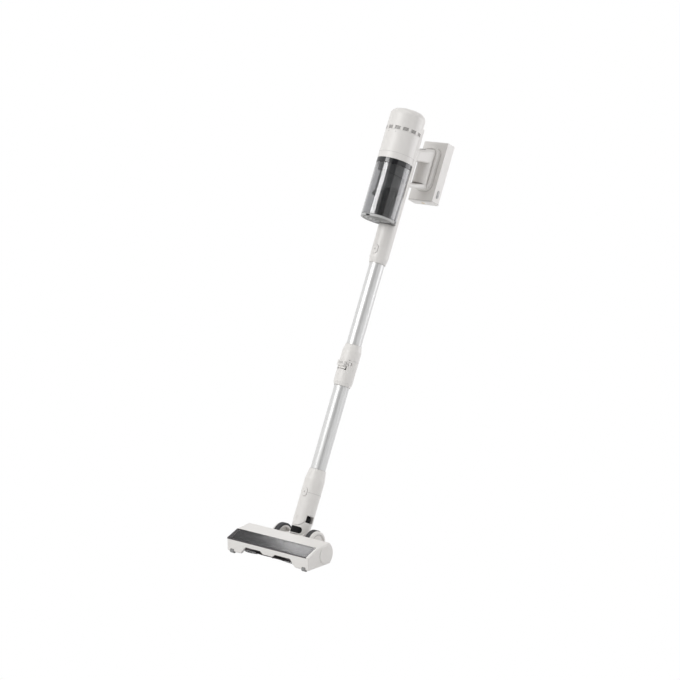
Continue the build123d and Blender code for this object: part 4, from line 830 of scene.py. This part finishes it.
SCREEN_R, SCREEN_T = 38.3, 0.6               # stands inside the filter cap, behind its vents
screen_foot, screen_top = housing_hi.z + 0.6, housing_hi.z + 11.0
screen = Form()
screen.turned([(SCREEN_R, screen_foot), (SCREEN_R, screen_top), (SCREEN_R - SCREEN_T, screen_top),
               (SCREEN_R - SCREEN_T, screen_foot)], CUP, ROUND, closed=True)
screen.put("vent_screen", M_MESH, "filter_lid")

MARK_ANGLE = 14.0                            # each side of the front
MARK_DROP = 5.0                              # below the joint with the filter cap
marks = Form()
for degrees in (-MARK_ANGLE, MARK_ANGLE):
    on_front = CUP @ turn(degrees, "Z") @ at(0, -CUP_R + 0.1, housing_hi.z - MARK_DROP) @ turn(90, "X")
    marks.stud(on_front, radius=1.1, sink=0, rise=0.4, bevel=(0.3, 0.15), steps=20)
marks.put("cap_marks", M_CREASE_AND_SHADE, "main_unit")

# ---- handle, dock and battery ------------------------------------------------------------------
pack_lo, pack_hi = node_span("pack_case", WAND_MM)
pack = (pack_lo + pack_hi) / 2
PLATE_B = 71.0                               # front of the battery plate behind the wand's axis
PLATE_W = 46.0
PLATE_S0 = 857.0
PLATE_S1 = 961.0
PLATE_CORNER = 16.0
PLATE_H = PLATE_S1 - PLATE_S0
GROOVE_IN = 4.5
plate_s = (PLATE_S0 + PLATE_S1) / 2


def put_outline(name, material, body, path, place, thick):
    """Round bead along a flat path; place turns the path's (x, y) points into (x, b, s)."""
    form = Form()
    form.bead([place(x, y) for x, y in path], thick)
    form.put(name, material, body)


# painted shade: a dark bead that stands for the shadow in the groove round the dock plate's front face
put_outline("dock_groove_shade", M_CREASE_AND_SHADE, "main_unit",
            rounded_path(PLATE_W - 2 * GROOVE_IN, PLATE_H - 2 * GROOVE_IN, PLATE_CORNER - GROOVE_IN),
            lambda x, y: (x, PLATE_B + 0.05, y + plate_s), thick=0.55)
# painted shadow: a dark bead where the plate meets the battery pack's front, in place of the contact shadow
# there
put_outline("dock_contact_shadow", M_CREASE_AND_SHADE, "main_unit", rounded_path(PLATE_W + 0.4, PLATE_H + 0.4, PLATE_CORNER),
            lambda x, y: (x, pack_lo.y - 0.1, y + plate_s), thick=0.4)

# screw plugs on the left half shell: behind the axis, up the wand, and how far the shell reaches there
SHELL_PLUGS = ((46.0, 930.0, 18.0), (66.0, 880.0, 18.0), (10.0, 722.0, 19.6), (10.0, 800.0, 19.6))
plugs = Form()
for b, s, reach in SHELL_PLUGS:
    plugs.stud(at(-reach, b, s) @ turn(-90, "Y"), radius=2.6, sink=0.6, rise=0.3, bevel=(0.4, 0.2), steps=28)
plugs.put("shell_screw_plugs", M_LIGHT, "main_unit")

HANDLE_SLOPE = 0.36                          # of the handle's upper arm, which the mode button lies in
LIGHT_PITCH = 4.0
mode = middle_of("mode_button")
on_handle = at(0, mode.y, mode.z) @ turn(math.degrees(math.atan(HANDLE_SLOPE)), "X")
leds = Form()
for k in range(3):
    leds.stud(on_handle @ at(LIGHT_PITCH * (k - 1), 11.5, 0.85), radius=0.8, sink=0.4, rise=0.12, steps=16)
leds.put("level_lights", M_LIGHT, "main_unit")

foot_top = node_span("pack_foot", WAND_MM)[1].z
put_outline("pack_line", M_SEAM, "battery",
            rounded_path(pack_hi.x - pack_lo.x - 0.2, pack_hi.y - pack_lo.y - 0.2, 2.0),
            lambda x, y: (x, pack.y + y, foot_top), thick=0.3)

RIDGE_PITCH, RIDGE_HALF, RIDGE_DEPTH = 1.8, 2.0, 0.3
for side, word in SIDES:
    latch = middle_of(f"pack_latch_{word}")
    face = outer_x(side, *node_span(f"pack_latch_{word}", WAND_MM))
    grip = Form()
    place = at(face - 0.02 * side, latch.y, latch.z + 4.0) @ turn(90 * side, "Y")
    grip.stud(place, radius=1.5, sink=0.3, rise=0.0, steps=20)
    low_x, high_x = sorted((face, face - RIDGE_DEPTH * side))
    for k in range(3):
        s = latch.z - 2.0 - RIDGE_PITCH * k
        grip.bar((low_x, latch.y - RIDGE_HALF, s - 0.3), (high_x, latch.y + RIDGE_HALF, s + 0.3))
    grip.put(f"latch_marks_{word}", M_GAP, f"battery_lock_{word}")

CHARGE_LIGHTS = 4
CHARGE_X, CHARGE_W, CHARGE_S, CHARGE_H = -7.0, 2.0, 958.0, 1.2
lights = Form()
for k in range(CHARGE_LIGHTS):
    x = CHARGE_X + LIGHT_PITCH * k
    lights.bar((x, pack_hi.y - 0.3, CHARGE_S), (x + CHARGE_W, pack_hi.y, CHARGE_S + CHARGE_H))
lights.put("charge_lights", M_LIGHT, "battery")

PACK_SCREW_X = 26.0
PACK_SCREWS = (846.0, 968.0)                 # up the wand
rear_screws = Form()
for x in (-PACK_SCREW_X, PACK_SCREW_X):
    for s in PACK_SCREWS:
        rear_screws.screw(at(x, pack_hi.y - 0.15, s) @ turn(-90, "X"), radius=2.2)
rear_screws.put("pack_screws", M_PIN, "battery")
put_dot("wand_button_dot", "wand_button", "wand_lock")

# ---- room and floor ----------------------------------------------------------------------------
# both glow white to the viewer's own rays and light the object as a dim sky and a pale floor
SKY_LIGHT = 0.5
world = bpy.data.worlds.new("studio")
bpy.context.scene.world = world
world.use_nodes = True
sky = Tree(world.node_tree)
sky_light = sky.glow("ShaderNodeBackground", SKY_LIGHT)
sky_seen = sky.glow("ShaderNodeBackground", 1.0)
sky.link(sky.mix(sky.seen(), sky_light, sky_seen), sky.add("ShaderNodeOutputWorld").inputs["Surface"])

bpy.ops.mesh.primitive_plane_add(size=24, location=(0, 0, FLOOR_Z))
floor = bpy.context.object
floor.name = "studio_floor"
paper = Shader("floor_paper")
paper.colour(paper.noise(scale=3.0), [(0.3, (0.86, 0.86, 0.86)), (0.7, (0.9, 0.9, 0.9))])
paper.set(Roughness=0.9, Specular_IOR_Level=0.1)
paper_seen = paper.glow("ShaderNodeEmission", 1.0)
paper.link(paper.mix(paper.seen(), paper.main.outputs[0], paper_seen), paper.out.inputs["Surface"])
floor.data.materials.append(paper.material)

# ---- light -------------------------------------------------------------------------------------
CENTRE = Vector((0, -0.29, -0.35))
HEAD_SPOT = CENTRE - Vector((0, 0, 0.4))
CUP_SPOT = WAND @ Vector((0, -0.040, 0.810))
WINDOW_SPOT = HEAD_MM @ Vector((92, 17, 40))


def softbox(name, aim, way, distance, size, power, colour=(1, 1, 1), spread=180):
    """Lamp that stands off from the aim in the given direction and faces it."""
    lamp = bpy.data.lights.new(name, "AREA")
    lamp.shape = "RECTANGLE"
    lamp.size, lamp.size_y = size
    lamp.energy = power
    lamp.color = colour
    lamp.spread = math.radians(spread)
    place = aim + Vector(way).normalized() * distance
    holder = bpy.data.objects.new(name, lamp)
    holder.location = place
    holder.rotation_euler = (aim - place).to_track_quat("-Z", "Y").to_euler()
    bpy.context.scene.collection.objects.link(holder)


# the main light, which also draws the bright streak down the cup
softbox("front_left_softbox", CUP_SPOT, (-0.20, -0.82, 0.54), 3.0, (1.5, 0.8), 31)
# the right-hand sides, the battery and the rims
softbox("rear_right_softbox", CUP_SPOT, (0.62, 0.78, -0.02), 3.0, (2.4, 1.4), 30, colour=(0.99, 0.98, 1.0))
# the tops
softbox("top_softbox", CENTRE, (0.1, -0.1, 1.0), 3.0, (1.6, 1.6), 13)
# the head's front face
softbox("head_softbox", HEAD_SPOT, (0.1, -0.95, 0.12), 2.2, (1.2, 0.5), 3.5)
# the bright right-hand end of the smoked window, in a cone that misses the rest
softbox("window_softbox", WINDOW_SPOT, (-0.638, 0.406, 0.654), 1.5, (0.26, 0.22), 0.045, spread=24)

# a dark card beside the viewer draws the dark streaks down the tubes, the cup and the housing
CARD_WAY = Vector((0.68, -0.64, 0.36)).normalized()
CARD_DISTANCE = 5.6
bpy.ops.mesh.primitive_plane_add(size=1, location=CUP_SPOT + CARD_WAY * CARD_DISTANCE)
card = bpy.context.object
card.name = "dark_card"
card.scale = (3.6, 4.4, 1)
card.rotation_euler = (-CARD_WAY).to_track_quat("Z", "Y").to_euler()
card.visible_camera = False
card.visible_transmission = False
cloth = Shader("card_cloth")
cloth.colour(cloth.noise(scale=6.0), [(0.3, (0.10, 0.10, 0.10)), (0.7, (0.13, 0.13, 0.13))])
cloth.set(Roughness=0.95, Specular_IOR_Level=0.0)
card.data.materials.append(cloth.material)

# ---- camera ------------------------------------------------------------------------------------
# it looks down a little from the front and from the object's +X side, and is rolled a hair
CAMERA_SPOT = HEAD_MM.translation + Vector((3.2574, -3.5172, 1.5598))
CAMERA_BACK = Vector((0.6382, -0.7391, 0.2156)).normalized()
CAMERA_UP = Vector((-0.1315, 0.1713, 0.9764))
camera_data = bpy.data.cameras.new("camera")
camera_data.sensor_width = 36.0
camera_data.lens = 119.9
camera_data.clip_end = 60
camera = bpy.data.objects.new("camera", camera_data)
bpy.context.scene.collection.objects.link(camera)
right = CAMERA_UP.cross(CAMERA_BACK).normalized()
up = CAMERA_BACK.cross(right)
camera.matrix_world = Matrix((
    (right.x, up.x, CAMERA_BACK.x, CAMERA_SPOT.x),
    (right.y, up.y, CAMERA_BACK.y, CAMERA_SPOT.y),
    (right.z, up.z, CAMERA_BACK.z, CAMERA_SPOT.z),
    (0, 0, 0, 1),
))
bpy.context.scene.camera = camera
bpy.context.scene.view_settings.view_transform = "Standard"
